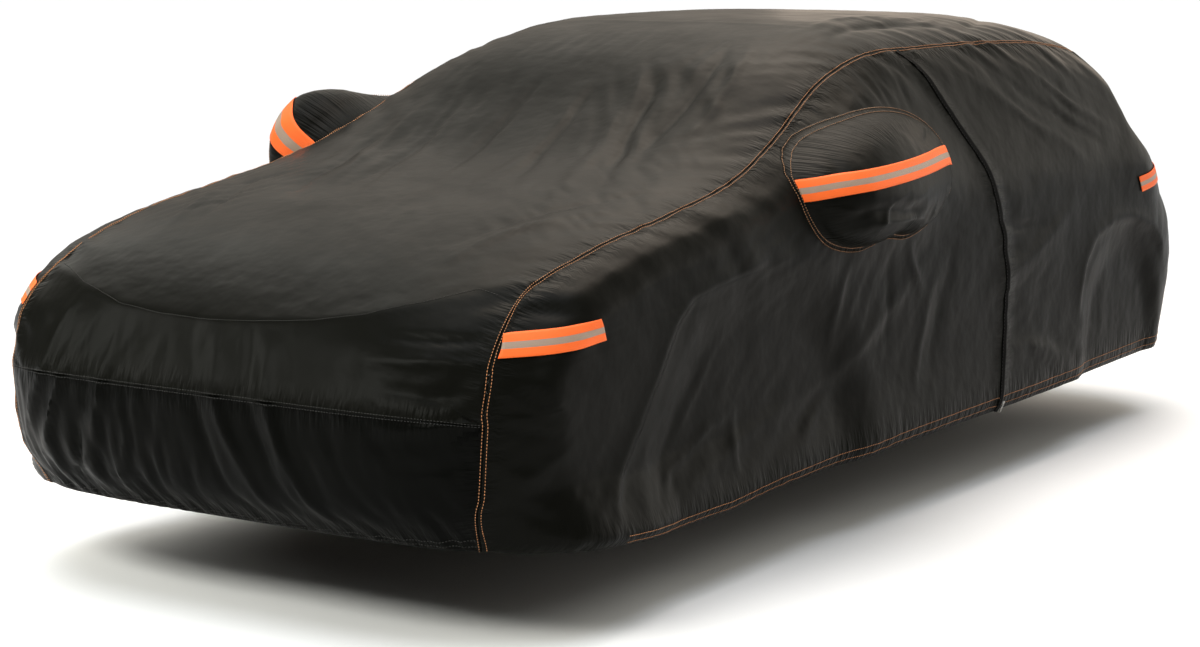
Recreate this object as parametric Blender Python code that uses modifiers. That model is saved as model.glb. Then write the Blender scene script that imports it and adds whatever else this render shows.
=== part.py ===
"""Fitted cloth cover for a compact hatchback, modelled as it hangs when it is pulled over its mount.

Lengths are in metres. In the tables, y runs to the rear from the front axle line and z is the height above the
ground. The finished part has its origin under the roof, where the cloth rests: REST is that point in table values.
The front faces -Y, the cover's own left is +X and +Z is up.

The shape is a centreline outline, front hem to rear hem, with the cloth turning down beside it. A point at depth d
inside the outline lies at half width x = width(y, z) * turn(d), so the top panel and the sides share one surface and
meet along the seam, whose depth is one of the outline's columns.
"""
from collections import namedtuple

import bmesh
import bpy
import numpy as np
from mathutils import Matrix, Vector
from mathutils.bvhtree import BVHTree

PART = "car_cover"

# ---------------------------------------------------------------- driving dimensions
REST = (0.0, 1.75, 1.480)       # the mount under the roof, in table values
CLOTH = 0.0015                  # thickness of every cloth panel
TAPE = 0.0012                   # thickness of the reflective tape and of the zip
SEAM_GAP = 0.0011               # between the edges of two panels sewn together
LIFT = 0.0005                   # from a panel to what is sewn on it
STRIP_WIDTH = 0.056             # reflective strips
ZIP_WIDTH = 0.030
ACROSS = 12                     # pieces across the top panel
UP_SIDE = 10                    # pieces from the hem up to the seam on a side

# The centreline. round is the depth in which the cloth turns from the top to the side, power is how square that
# turn is, and seam is the depth of the long seam inside the outline.
Station = namedtuple("Station", "name y z round power seam")
OUTLINE = (
    Station("front hem", -0.975, 0.250, 0.34, 4.2, 0.090),
    Station("chin", -1.075, 0.360, 0.36, 4.4, 0.115),
    Station("skirt seam", -1.100, 0.600, 0.36, 4.4, 0.125),
    Station("grille", -1.065, 0.690, 0.33, 4.4, 0.110),
    Station("bonnet lip", -1.005, 0.785, 0.27, 4.6, 0.085),
    Station("bonnet nose", -0.810, 0.905, 0.17, 5.0, 0.042),
    Station("bonnet front", -0.500, 1.000, 0.15, 5.2, 0.040),
    Station("bonnet mid", -0.150, 1.062, 0.15, 5.4, 0.044),
    Station("bonnet rear", 0.200, 1.130, 0.15, 5.6, 0.048),
    Station("screen foot", 0.450, 1.222, 0.17, 6.0, 0.056),
    Station("screen mid", 0.800, 1.385, 0.19, 6.0, 0.074),
    Station("screen head", 1.150, 1.468, 0.19, 5.6, 0.084),
    Station("roof front", 1.500, 1.482, 0.20, 5.0, 0.092),
    Station("roof mid", 2.000, 1.478, 0.20, 4.6, 0.092),
    Station("roof rear", 2.480, 1.448, 0.20, 4.2, 0.090),
    Station("spoiler", 2.820, 1.375, 0.24, 3.4, 0.090),
    Station("tail glass", 3.020, 1.190, 0.34, 3.0, 0.110),
    Station("tail shoulder", 3.230, 0.980, 0.40, 4.0, 0.110),
    Station("tail", 3.370, 0.760, 0.40, 5.0, 0.110),
    Station("tail bumper", 3.410, 0.500, 0.40, 5.0, 0.110),
    Station("rear hem", 3.330, 0.250, 0.40, 5.0, 0.110),
)
# Stretches of the outline and the number of pieces in each. A side panel's corners are at the two middle names.
SPANS = (
    ("front hem", "skirt seam", 4),
    ("skirt seam", "bonnet nose", 6),
    ("bonnet nose", "spoiler", 42),
    ("spoiler", "rear hem", 10),
)

# Half width at the waist along the length, and the height of the waist.
Width = namedtuple("Width", "y half")
WAIST = (Width(-1.05, 0.925), Width(0.0, 0.925), Width(1.0, 0.905), Width(2.0, 0.900), Width(3.3, 0.885))
WAIST_HEIGHT = 1.00
LEAN = 0.47                     # how far the cloth leans in above the waist, per metre of height
LEAN_BEND = 0.045               # height over which that lean begins
TUCK = 0.03                     # how much narrower the cover is at the hem
HEM_REACH = 0.35                # length of the outline that is fitted to the hem's height
SEAM_FADE = 0.12                # distance from the seams over which a side's forms and folds fade in
FOLD_END = 0.35                 # share of a fold's height that is left at its ends

# Height of the hem along the length.
Hem = namedtuple("Hem", "y z")
HEM = (
    Hem(-0.98, 0.250), Hem(-0.80, 0.245), Hem(-0.57, 0.222), Hem(-0.30, 0.202), Hem(0.00, 0.200),
    Hem(0.30, 0.215), Hem(1.00, 0.225), Hem(1.70, 0.228), Hem(2.40, 0.235), Hem(3.00, 0.245), Hem(3.40, 0.260),
)

# Soft hollows and swellings of the sides: centre, half length, half height, depth (positive outwards) and edge,
# the share of the form's radius in which it fades.
Form = namedtuple("Form", "name y z length height depth edge")
SIDE_FORMS = (
    Form("front arch", 0.17, 0.34, 0.66, 0.53, -0.042, 0.34),
    Form("rear arch", 2.68, 0.28, 0.38, 0.49, -0.032, 0.34),
    Form("mirror lift", 0.84, 1.07, 0.68, 0.34, 0.055, 0.95),
    Form("wing corner", -0.66, 0.72, 0.42, 0.30, 0.012, 0.80),
    Form("tail corner", 2.90, 0.93, 0.40, 0.16, 0.014, 0.90),
)

# Folds, as straight soft ridges (height above 0) and troughs (below 0), each from (u0, v0) to (u1, v1). On a side
# u is y and v is z. On the top u is x and v is the length of cloth along the centreline from the front hem.
Fold = namedtuple("Fold", "name u0 v0 u1 v1 width height")
TOP_FOLDS = (
    Fold("long windscreen trough", -0.16, 2.30, -0.02, 1.62, 0.080, -0.014),
    Fold("windscreen ridge", 0.00, 2.30, 0.18, 1.50, 0.090, 0.012),
    Fold("roof corner trough", 0.34, 2.50, 0.46, 1.90, 0.080, -0.014),
    Fold("windscreen to seam", 0.17, 2.42, 0.50, 1.40, 0.080, 0.011),
    Fold("right cowl trough", -0.38, 2.24, -0.16, 1.42, 0.080, -0.012),
    Fold("right cowl ridge", -0.48, 2.10, -0.30, 1.50, 0.080, 0.010),
    Fold("right bonnet trough", -0.60, 1.50, -0.44, 1.10, 0.080, -0.010),
    Fold("left bonnet ridge", 0.60, 1.46, 0.56, 0.94, 0.080, 0.010),
    Fold("roof slack", 0.56, 2.86, 0.50, 3.70, 0.080, -0.012),
    Fold("roof rear slack", 0.10, 3.90, 0.46, 4.40, 0.110, -0.010),
    Fold("rear drape left", 0.34, 4.80, 0.46, 5.70, 0.090, 0.012),
    Fold("rear drape right", -0.30, 4.90, -0.44, 5.76, 0.090, -0.012),
    Fold("grille fold middle", -0.02, 0.60, 0.22, 0.08, 0.085, 0.016),
    Fold("grille fold left", 0.18, 0.56, 0.42, 0.06, 0.085, -0.014),
    Fold("grille fold right", -0.27, 0.52, -0.44, 0.06, 0.085, 0.014),
    Fold("skirt gather", -0.12, 0.36, -0.14, 0.00, 0.080, -0.012),
)
BOTH_FOLDS = (
    Fold("arch edge top", 0.02, 0.87, -0.26, 0.80, 0.060, 0.012),
    Fold("arch edge mid", -0.26, 0.80, -0.43, 0.64, 0.060, 0.018),
    Fold("arch edge low", -0.43, 0.64, -0.60, 0.28, 0.060, 0.022),
    Fold("rear arch front", 2.27, 0.36, 2.36, 0.68, 0.050, 0.014),
    Fold("rear arch top", 2.40, 0.73, 2.76, 0.76, 0.050, 0.014),
    Fold("rear arch back", 2.80, 0.76, 3.04, 0.60, 0.050, 0.012),
)
LEFT_FOLDS = BOTH_FOLDS + (
    Fold("long drape", 0.92, 0.64, -0.26, 0.27, 0.060, 0.014),
    Fold("second drape", 1.22, 0.80, 0.30, 0.28, 0.055, 0.012),
    Fold("trough between", 1.02, 0.62, 0.10, 0.22, 0.050, -0.012),
    Fold("under the pocket", 0.66, 0.82, 0.60, 0.48, 0.050, 0.010),
    Fold("door trough", 1.36, 0.88, 1.05, 0.30, 0.060, -0.010),
    Fold("rear quarter stretch", 1.65, 1.32, 2.30, 1.02, 0.050, 0.010),
    Fold("rear quarter trough", 1.95, 1.34, 2.65, 1.06, 0.050, -0.009),
    Fold("nose drape", -0.78, 0.62, -0.70, 0.27, 0.050, 0.010),
)
RIGHT_FOLDS = BOTH_FOLDS + (
    Fold("long drape", 1.10, 0.60, -0.10, 0.26, 0.070, 0.012),
    Fold("door trough", 1.70, 0.90, 1.30, 0.30, 0.070, -0.010),
)

# The zip's line on the left side: its ends, and how far its middle is bowed to the rear.
ZIP_TOP_Y = 1.355
ZIP_FOOT_Y = 1.655
ZIP_BOW = 0.085
ZIP_BOW_REACH = 0.70
ZIP_STOP = 0.0045               # from the seam down to the top of the zip tape

# Outline of a mirror pocket where it is sewn into the side.
Knot = namedtuple("Knot", "name y z")
POCKET = (
    Knot("front", 0.378, 1.060), Knot("front top", 0.441, 1.122), Knot("top front", 0.600, 1.186),
    Knot("top", 0.810, 1.222), Knot("top rear", 1.010, 1.225), Knot("rear top", 1.190, 1.192),
    Knot("rear", 1.300, 1.115), Knot("rear low", 1.290, 0.998), Knot("rear foot", 1.160, 0.912),
    Knot("foot rear", 0.990, 0.870), Knot("foot notch", 0.840, 0.882), Knot("foot", 0.670, 0.862),
    Knot("foot front", 0.500, 0.896), Knot("front low", 0.405, 0.972),
)
POCKET_CENTRE = (0.790, 1.045)
Dome = namedtuple("Dome", "bulge square rise forward inset")   # how far a pocket stands out, how square, its lean
LEFT_DOME = Dome(0.125, 3.2, 0.0, 0.0, 0.0011)
RIGHT_DOME = Dome(0.165, 4.5, 0.150, 0.065, 0.0011)
RISE_FROM = 0.98                # height at which a pocket starts to lean upwards
RISE_REACH = 0.20
RISE_BACK = 0.84                # where along the length that lean has faded out
RISE_FADE = 0.26
FORWARD_REACH = 0.35            # length over which its lean forwards fades out behind its front
POCKET_PEAK = 0.56              # where along the length it stands out most
POCKET_FRONT = 0.90             # share of the bulge at the pocket's front
POCKET_TAIL = 0.36              # share of the bulge that is left at the pocket's rear
POCKET_RINGS = 5

# Reflective strips on a panel: the middle line of each, from and to.
Strip = namedtuple("Strip", "name y0 z0 y1 z1")
FRONT_STRIP = Strip("front", -0.902, 0.768, -0.648, 0.790)
MIRROR_STRIP = Strip("mirror", 0.400, 1.042, 1.288, 1.070)
RIGHT_MIRROR_STRIP = Strip("mirror", 0.428, 1.082, 1.288, 1.076)
REAR_STRIP = Strip("rear", 2.770, 0.865, 3.120, 0.905)

PULL_SIZE = (0.0030, 0.0100, 0.0260)
PULL_HEIGHT = 0.245             # middle of the zip pull above the ground
PULL_BEVEL = 0.0008

# ---------------------------------------------------------------- finishes
Finish = namedtuple("Finish", "colour roughness metallic")
FINISHES = {
    "cloth": Finish((0.020, 0.019, 0.016), 0.55, 0.0),
    "tape": Finish((0.800, 0.110, 0.020), 0.50, 0.0),
    "zip": Finish((0.006, 0.006, 0.006), 0.60, 0.0),
    "metal": Finish((0.420, 0.410, 0.400), 0.35, 1.0),
}


def material(name):
    """Return the material of one finish, made on first use."""
    found = bpy.data.materials.get(name)
    if found:
        return found
    made = bpy.data.materials.new(name)
    made.use_nodes = True
    shader = made.node_tree.nodes["Principled BSDF"]
    finish = FINISHES[name]
    shader.inputs["Base Color"].default_value = (*finish.colour, 1.0)
    shader.inputs["Roughness"].default_value = finish.roughness
    shader.inputs["Metallic"].default_value = finish.metallic
    made.diffuse_color = (*finish.colour, 1.0)
    return made


# ---------------------------------------------------------------- the shape of the cover
def column(rows, *names):
    """Return the named columns of a table as one array, a row for each entry."""
    return np.array([[getattr(row, name) for name in names] for row in rows], float)


def smooth(knots, values, where):
    """Cubic curve through values at knots, read at where."""
    slope = np.gradient(values, knots, axis=0)
    span = np.clip(np.searchsorted(knots, where, side="right") - 1, 0, len(knots) - 2)
    length = (knots[span + 1] - knots[span])[:, None]
    u = (where - knots[span])[:, None] / length
    return (
        (2 * u**3 - 3 * u**2 + 1) * values[span]
        + (u**3 - 2 * u**2 + u) * length * slope[span]
        + (3 * u**2 - 2 * u**3) * values[span + 1]
        + (u**3 - u**2) * length * slope[span + 1]
    )


class Outline:
    """The centreline, read at stations from the front hem to the rear hem."""

    def __init__(self, where):
        """Read the outline's columns, its length so far and its inward normals at the knot values given."""
        rows = column(OUTLINE, "y", "z", "round", "power", "seam")
        values = smooth(self.knots(), rows, where)
        self.point = values[:, :2]
        self.round, self.power, self.seam = values[:, 2], values[:, 3], values[:, 4]
        steps = np.linalg.norm(np.diff(self.point, axis=0), axis=1)
        self.run = np.concatenate([[0.0], np.cumsum(steps)])
        along = np.gradient(self.point, axis=0)
        along /= np.linalg.norm(along, axis=1)[:, None]
        self.inward = np.stack([along[:, 1], -along[:, 0]], axis=1)

    @staticmethod
    def knots():
        """Return a knot value for each station, spaced by the root of the distance."""
        steps = np.linalg.norm(np.diff(column(OUTLINE, "y", "z"), axis=0), axis=1)
        return np.concatenate([[0.0], np.cumsum(np.sqrt(steps))])

    @staticmethod
    def stations():
        """Return the knot values of the panels' rows, with the pieces that SPANS gives."""
        names = [station.name for station in OUTLINE]
        knots = Outline.knots()
        runs = [np.linspace(knots[names.index(a)], knots[names.index(b)], n, endpoint=False) for a, b, n in SPANS]
        return np.concatenate(runs + [knots[-1:]])

    def inside(self, depth):
        """Return y and z at a depth inside every station, the ends brought to the hem's height."""
        y = self.point[:, 0] + self.inward[:, 0] * depth
        z = self.point[:, 1] + self.inward[:, 1] * depth
        for end, distance in ((0, self.run), (-1, self.run[-1] - self.run)):
            share = np.clip(1 - distance / HEM_REACH, 0, 1) ** 2
            z = z + (hem_height(y[end]) - z[end]) * share
        return y, z


def hem_height(y):
    """Height of the hem at a length y."""
    return np.interp(y, *column(HEM, "y", "z").T)


def half_width(y, z):
    """Half width of the cover before its top turns in."""
    waist = np.interp(y, *column(WAIST, "y", "half").T)
    above = LEAN_BEND * np.logaddexp(0, (z - WAIST_HEIGHT) / LEAN_BEND)
    below = np.clip((WAIST_HEIGHT - z) / WAIST_HEIGHT, 0, 1)
    return waist - LEAN * above - TUCK * (below / 0.8) ** 2


def turn(depth, radius, power):
    """Share of the half width that is reached at a depth inside the outline."""
    left = np.clip(1 - depth / radius, 0, 1)
    return (1 - left**2) ** (1 / power)


def turn_depth(share, radius, power):
    """Depth inside the outline at which the share is reached."""
    return radius * (1 - np.sqrt(np.clip(1 - share**power, 0, 1)))


FINE = Outline(np.linspace(0, Outline.knots()[-1], 500))


def side_x(y, z):
    """Half width of the plain side surface at points (y, z) inside the outline."""
    flat = np.stack([np.ravel(y), np.ravel(z)], axis=1)
    start, step = FINE.point[:-1], np.diff(FINE.point, axis=0)
    offset = flat[:, None] - start
    share = np.clip((offset * step).sum(2) / (step * step).sum(1), 0, 1)
    distance = np.linalg.norm(offset - share[..., None] * step, axis=2)
    nearest = distance.argmin(axis=1)
    depth = distance[np.arange(len(flat)), nearest]
    x = half_width(flat[:, 0], flat[:, 1]) * turn(depth, FINE.round[nearest], FINE.power[nearest])
    return x.reshape(np.shape(y))


def form_relief(y, z):
    """Outward shift of a side from its soft forms."""
    total = np.zeros_like(y)
    for form in SIDE_FORMS:
        radius = np.hypot((y - form.y) / form.length, (z - form.z) / form.height)
        fade = np.clip((1 - radius) / form.edge, 0, 1)
        total += form.depth * fade**2 * (3 - 2 * fade)
    return total


def fold_relief(u, v, folds):
    """Outward shift of the cloth from its folds."""
    total = np.zeros_like(u)
    for fold in folds:
        start = np.array([fold.u0, fold.v0])
        step = np.array([fold.u1, fold.v1]) - start
        offset = np.stack([u, v], axis=-1) - start
        share = np.clip((offset @ step) / (step @ step), 0, 1)
        distance = np.linalg.norm(offset - share[..., None] * step, axis=-1)
        swell = FOLD_END + (1 - FOLD_END) * np.sin(np.pi * share)
        total += fold.height * swell * np.exp(-((distance / fold.width) ** 2))
    return total


def top_grid():
    """Vertices of the whole top, a row for each station, from the right seam across to the left seam."""
    outline = Outline(Outline.stations())
    seam_share = turn(outline.seam, outline.round, outline.power)
    grid = np.zeros((len(outline.point), ACROSS + 1, 3))
    for index, across in enumerate(np.linspace(-1, 1, ACROSS + 1)):
        share = abs(across) * seam_share
        y, z = outline.inside(turn_depth(share, outline.round, outline.power))
        x = np.sign(across) * share * half_width(y, z)
        relief = fold_relief(x, outline.run, TOP_FOLDS) * (1 - across**4)
        y, z = (y, z) - outline.inward.T * relief
        grid[:, index] = np.stack([x, y, z], axis=1)
    return grid


def coons(bottom, top, front, rear):
    """Surface between four edges. bottom and top run rearwards, front and rear run upwards."""
    u = np.linspace(0, 1, len(bottom))[:, None, None]
    v = np.linspace(0, 1, len(front))[None, :, None]
    corners = (
        (1 - u) * (1 - v) * bottom[0] + u * (1 - v) * bottom[-1]
        + (1 - u) * v * top[0] + u * v * top[-1]
    )
    return (1 - v) * bottom[:, None] + v * top[:, None] + (1 - u) * front[None] + u * rear[None] - corners


def side_grid(folds):
    """Vertices of the left side, columns from front to rear, rows from the hem up to the seam."""
    seam = top_grid()[:, -1]
    first, last = UP_SIDE, len(seam) - 1 - UP_SIDE
    front, top, rear = seam[:first + 1], seam[first:last + 1], seam[last:][::-1]
    zip_column = int(np.argmin(abs(top[:, 1] - ZIP_TOP_Y)))
    foot = np.concatenate([
        np.linspace(front[0, 1], ZIP_FOOT_Y, zip_column, endpoint=False),
        np.linspace(ZIP_FOOT_Y, rear[0, 1], len(top) - zip_column),
    ])
    bottom = np.stack([foot, hem_height(foot)], axis=1)
    bottom[0], bottom[-1] = front[0, 1:], rear[0, 1:]
    plane = coons(bottom, top[:, 1:], front[:, 1:], rear[:, 1:])
    up = np.linspace(0, 1, len(front))
    along = (plane[..., 0] - ZIP_FOOT_Y) / ZIP_BOW_REACH
    plane[..., 0] += ZIP_BOW * np.exp(-(along**2)) * 4 * up * (1 - up)
    y, z = plane[..., 0], plane[..., 1]
    x = side_x(y, z)
    # The seam's own half widths, so that the side meets the top panel along it.
    short = coons(
        np.zeros((len(top), 1)), (top[:, 0] - x[:, -1])[:, None],
        (front[:, 0] - x[0])[:, None], (rear[:, 0] - x[-1])[:, None],
    )[..., 0]
    distance = [np.linalg.norm(plane[:, :, None] - edge[None, None, :, 1:], axis=3).min(axis=2)
                for edge in (front, top, rear)]
    inner = np.clip(np.minimum.reduce(distance) / SEAM_FADE, 0, 1)
    shift = form_relief(y, z) + fold_relief(y, z, folds)
    x = x + short + shift * inner**2 * (3 - 2 * inner)
    return np.stack([x, y, z], axis=2), zip_column


# ---------------------------------------------------------------- from grids to solids
def in_part_frame(points):
    """Move table values to the part's own frame."""
    return np.asarray(points, float) - np.array(REST)


def inset(grid, front=0.0, rear=0.0, low=0.0, high=0.0):
    """Draw the edges of a grid inwards along its own lines. front and rear are its first and last columns."""
    grid = grid.copy()
    for axis, first, last in ((0, front, rear), (1, low, high)):
        moved = np.moveaxis(grid, axis, 0)
        for edge, neighbour, amount in ((0, 1, first), (-1, -2, last)):
            step = moved[neighbour] - moved[edge]
            length = np.maximum(np.linalg.norm(step, axis=-1, keepdims=True), 1e-9)
            moved[edge] += step / length * amount
    return grid


def grid_faces(columns, rows):
    """Quads of a grid, wound so that they face the side where columns x rows points."""
    faces = []
    for i in range(columns - 1):
        for j in range(rows - 1):
            a = i * rows + j
            faces.append((a, a + rows, a + rows + 1, a + 1))
    return faces


def surface_mesh(name, points, faces, outward):
    """Make a mesh of triangles from points and faces, facing the way that outward points."""
    mesh = bpy.data.meshes.new(name)
    mesh.from_pydata([tuple(point) for point in points], [], faces)
    flat = bmesh.new()
    flat.from_mesh(mesh)
    bmesh.ops.triangulate(flat, faces=flat.faces, quad_method="FIXED")
    flat.to_mesh(mesh)
    flat.free()
    facing = sum((polygon.normal * polygon.area for polygon in mesh.polygons), Vector())
    if facing.dot(Vector(outward)) < 0:
        mesh.flip_normals()
    return mesh


def grid_mesh(name, grid, outward):
    """Make an open mesh from a grid of table values."""
    return surface_mesh(name, in_part_frame(grid.reshape(-1, 3)), grid_faces(*grid.shape[:2]), outward)


def add_object(name, mesh, finish, collection):
    """Link a mesh as one named sub-part."""
    made = bpy.data.objects.new(name, mesh)
    mesh.materials.clear()
    mesh.materials.append(material(finish))
    collection.objects.link(made)
    return made


def thicken(target, thickness, offset):
    """Give an open surface its thickness. offset 0 puts the surface in its middle, 1 goes outwards from it."""
    solid = target.modifiers.new("thickness", "SOLIDIFY")
    solid.thickness = thickness
    solid.offset = offset
    solid.use_even_offset = True
    return solid


def cut(target, cutter, operation="DIFFERENCE"):
    """Cut the target with the cutter, or keep what they share."""
    boolean = target.modifiers.new(operation.lower(), "BOOLEAN")
    boolean.operation = operation
    boolean.solver = "EXACT"
    boolean.object = cutter
    return boolean


def prism(name, outline, side, cutters, near=0.35, far=1.40):
    """Cutter with a (y, z) outline in table values, which runs sideways through one side of the cover."""
    count = len(outline)
    points = [(side * x, y, z) for x in (near, far) for y, z in outline]
    faces = [tuple(range(count)), tuple(range(2 * count - 1, count - 1, -1))]
    faces += [(i, i + count, (i + 1) % count + count, (i + 1) % count) for i in range(count)]
    mesh = bpy.data.meshes.new(name)
    mesh.from_pydata([tuple(point) for point in in_part_frame(points)], [], faces)
    whole = bmesh.new()
    whole.from_mesh(mesh)
    bmesh.ops.recalc_face_normals(whole, faces=whole.faces)
    whole.to_mesh(mesh)
    whole.free()
    cutter = bpy.data.objects.new(name, mesh)
    cutter.display_type = "WIRE"
    cutter.hide_render = True
    cutters.objects.link(cutter)
    return cutter


def band(strip, width):
    """Four corners of a straight strip in the (y, z) plane."""
    start, end = Vector((strip.y0, strip.z0)), Vector((strip.y1, strip.z1))
    across = (end - start).normalized().orthogonal() * width / 2
    return [start - across, end - across, end + across, start + across]


def sewn_on(name, surface, cutter, thickness, finish, collection):
    """Make a piece that follows an open surface at a small distance, cut to the cutter's outline."""
    mesh = surface.copy()
    raised = bmesh.new()
    raised.from_mesh(mesh)
    raised.normal_update()
    rise = CLOTH / 2 + LIFT
    moves = [vertex.normal * vertex.calc_shell_factor() * rise for vertex in raised.verts]
    for vertex, move in zip(raised.verts, moves):
        vertex.co += move
    raised.to_mesh(mesh)
    raised.free()
    piece = add_object(name, mesh, finish, collection)
    thicken(piece, thickness, 1)
    cut(piece, cutter, "INTERSECT")
    return piece


# ---------------------------------------------------------------- sub-parts
def surface_tree(surface):
    """Search tree of a surface mesh, to find where a line meets it."""
    return BVHTree.FromPolygons([vertex.co for vertex in surface.vertices],
                                [polygon.vertices for polygon in surface.polygons])


def pocket_ring(grow):
    """Closed outline of a mirror pocket, two points for each knot, moved outwards by a small amount."""
    knots = column(POCKET, "y", "z")
    padded = np.vstack([knots[-3:], knots, knots[:3]])
    where = 3 + np.arange(2 * len(knots)) / 2
    ring = smooth(np.arange(len(padded), dtype=float), padded, where)
    along = np.roll(ring, -1, axis=0) - np.roll(ring, 1, axis=0)
    along /= np.linalg.norm(along, axis=1)[:, None]
    outward = np.stack([-along[:, 1], along[:, 0]], axis=1)
    return ring + outward * grow


def pocket_mesh(name, side, surface):
    """Open dome of a mirror pocket, which grows out of the hole in the side surface."""
    tree = surface_tree(surface)
    dome = LEFT_DOME if side > 0 else RIGHT_DOME
    ring = pocket_ring(-dome.inset)
    centre = np.array(POCKET_CENTRE)
    reach = column(POCKET, "y")[:, 0]
    points, faces = [], []
    for layer in range(POCKET_RINGS, -1, -1):
        share = layer / POCKET_RINGS
        plane = centre + (ring - centre) * share if layer else centre[None]
        for y, z in plane:
            start = Vector(in_part_frame((side * 2.0, y, z)))
            hit = tree.ray_cast(start, Vector((-side, 0, 0)))[0]
            lean = np.interp(y, (reach.min(), POCKET_PEAK, reach.max()), (POCKET_FRONT, 1.0, POCKET_TAIL))
            out = (1 - share**dome.square) ** 0.5
            rise = dome.rise * out * np.clip((z - RISE_FROM) / RISE_REACH, 0, 1)
            rise *= np.clip((RISE_BACK - y) / RISE_FADE, 0, 1)
            forward = dome.forward * out * np.clip((POCKET_CENTRE[0] - y) / FORWARD_REACH, 0, 1)
            points.append((hit.x + side * dome.bulge * lean * out, hit.y - forward, hit.z + rise))
    count = len(ring)
    for layer in range(POCKET_RINGS - 1):
        for i in range(count):
            a, b = layer * count + i, layer * count + (i + 1) % count
            faces.append((a, b, b + count, a + count))
    last = (POCKET_RINGS - 1) * count
    faces += [(last + i, last + (i + 1) % count, last + count) for i in range(count)]
    return surface_mesh(name, points, faces, (side, 0, 0))


def mirrored(grid):
    """The same grid on the cover's right."""
    return grid * np.array([-1, 1, 1])


def build_top(collection):
    """Top panel from the front seam over the roof to the rear hem, and the skirt below the front seam."""
    grid = top_grid()
    split = SPANS[0][2]
    gap = SEAM_GAP / 2
    skirt = inset(grid[:split + 1], rear=gap, low=gap, high=gap)
    panel = inset(grid[split:], front=gap, low=gap, high=gap)
    for name, piece, outward in (("front_skirt", skirt, (0, -1, 0)), ("top_panel", panel, (0, 0, 1))):
        thicken(add_object(name, grid_mesh(name, piece, outward), "cloth", collection), CLOTH, 0)


def build_side(side, collection, cutters):
    """One side with its mirror pocket and strips. The left side, side 1, is in two panels with a zip."""
    word = "left" if side > 0 else "right"
    grid, zip_column = side_grid(LEFT_FOLDS if side > 0 else RIGHT_FOLDS)
    whole = grid if side > 0 else mirrored(grid)
    outward = (side, 0, 0)
    surface = grid_mesh(f"side_{word}_surface", whole, outward)
    gap = SEAM_GAP / 2
    hole = prism(f"hole_{word}", pocket_ring(gap), side, cutters)
    if side > 0:
        panels = {
            "side_left_front": inset(whole[:zip_column + 1], front=gap, rear=gap, high=gap),
            "side_left_rear": inset(whole[zip_column:], front=gap, rear=gap, high=gap),
        }
    else:
        panels = {"side_right": inset(whole, front=gap, rear=gap, high=gap)}
    for index, (name, panel) in enumerate(panels.items()):
        piece = add_object(name, grid_mesh(name, panel, outward), "cloth", collection)
        thicken(piece, CLOTH, 0)
        if index == 0:
            cut(piece, hole)
    pocket_name = f"mirror_pocket_{word}"
    pocket = pocket_mesh(pocket_name, side, surface)
    thicken(add_object(pocket_name, pocket, "cloth", collection), CLOTH, 0)
    mirror_strip = MIRROR_STRIP if side > 0 else RIGHT_MIRROR_STRIP
    for strip, under in ((FRONT_STRIP, surface), (mirror_strip, pocket), (REAR_STRIP, surface)):
        name = f"strip_{strip.name}_{word}"
        cutter = prism(f"cut_{name}", band(strip, STRIP_WIDTH), side, cutters)
        sewn_on(name, under, cutter, TAPE, "tape", collection)
    if side > 0:
        build_zip(grid[zip_column], surface, collection, cutters)
    bpy.data.meshes.remove(surface)


def build_zip(line, surface, collection, cutters):
    """Zip tape over the join of the two left panels, and its pull at the hem."""
    plane = line[:, 1:]
    along = np.gradient(plane, axis=0)
    across = np.stack([along[:, 1], -along[:, 0]], axis=1) / np.linalg.norm(along, axis=1)[:, None]
    ends = plane.copy()
    ends[0, 1] += SEAM_GAP
    ends[-1, 1] -= ZIP_STOP
    half = ZIP_WIDTH / 2
    outline = np.vstack([ends - across * half, (ends + across * half)[::-1]])
    cutter = prism("cut_zip", outline, 1, cutters)
    sewn_on("zip_left", surface, cutter, TAPE, "zip", collection)
    y = np.interp(PULL_HEIGHT, plane[:, 1], plane[:, 0])
    start = Vector(in_part_frame((2.0, y, PULL_HEIGHT)))
    hit, normal = surface_tree(surface).ray_cast(start, Vector((-1, 0, 0)))[:2]
    bpy.ops.mesh.primitive_cube_add(size=1)
    pull = bpy.context.object
    pull.name = pull.data.name = "zip_pull"
    pull.data.transform(Matrix.Diagonal((*PULL_SIZE, 1)))
    reach = CLOTH / 2 + 2 * LIFT + TAPE + PULL_SIZE[0] / 2
    pull.matrix_world = Matrix.Translation(hit + normal * reach) @ normal.to_track_quat("X", "Z").to_matrix().to_4x4()
    bevel = pull.modifiers.new("edges", "BEVEL")
    bevel.width = PULL_BEVEL
    bevel.segments = 2
    pull.data.materials.append(material("metal"))
    for home in list(pull.users_collection):
        home.objects.unlink(pull)
    collection.objects.link(pull)


def main():
    """Clear the scene and build the cover."""
    for old in list(bpy.data.objects):
        bpy.data.objects.remove(old, do_unlink=True)
    collection = bpy.data.collections.new(PART)
    cutters = bpy.data.collections.new("cutters")
    bpy.context.scene.collection.children.link(collection)
    bpy.context.scene.collection.children.link(cutters)
    build_top(collection)
    for side in (1, -1):
        build_side(side, collection, cutters)


main()
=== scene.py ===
"""Looks of a fitted cloth car cover: dark coated cloth with its folds, sewn seams, reflective strips and a side zip.

Lengths are in metres. In the tables of the cover's form, y runs to the rear from the front axle line and z is the
height above the ground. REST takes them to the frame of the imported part, whose origin lies under the roof. The cover
faces -Y, its own left is +X and +Z is up.
"""
from __future__ import annotations

import logging
import math
from dataclasses import dataclass
from enum import Enum
from typing import Any, NamedTuple, Sequence

import bmesh
import bpy
import numpy as np
from mathutils import Euler, Matrix, Vector
from mathutils.bvhtree import BVHTree
from mathutils.geometry import barycentric_transform

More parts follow.
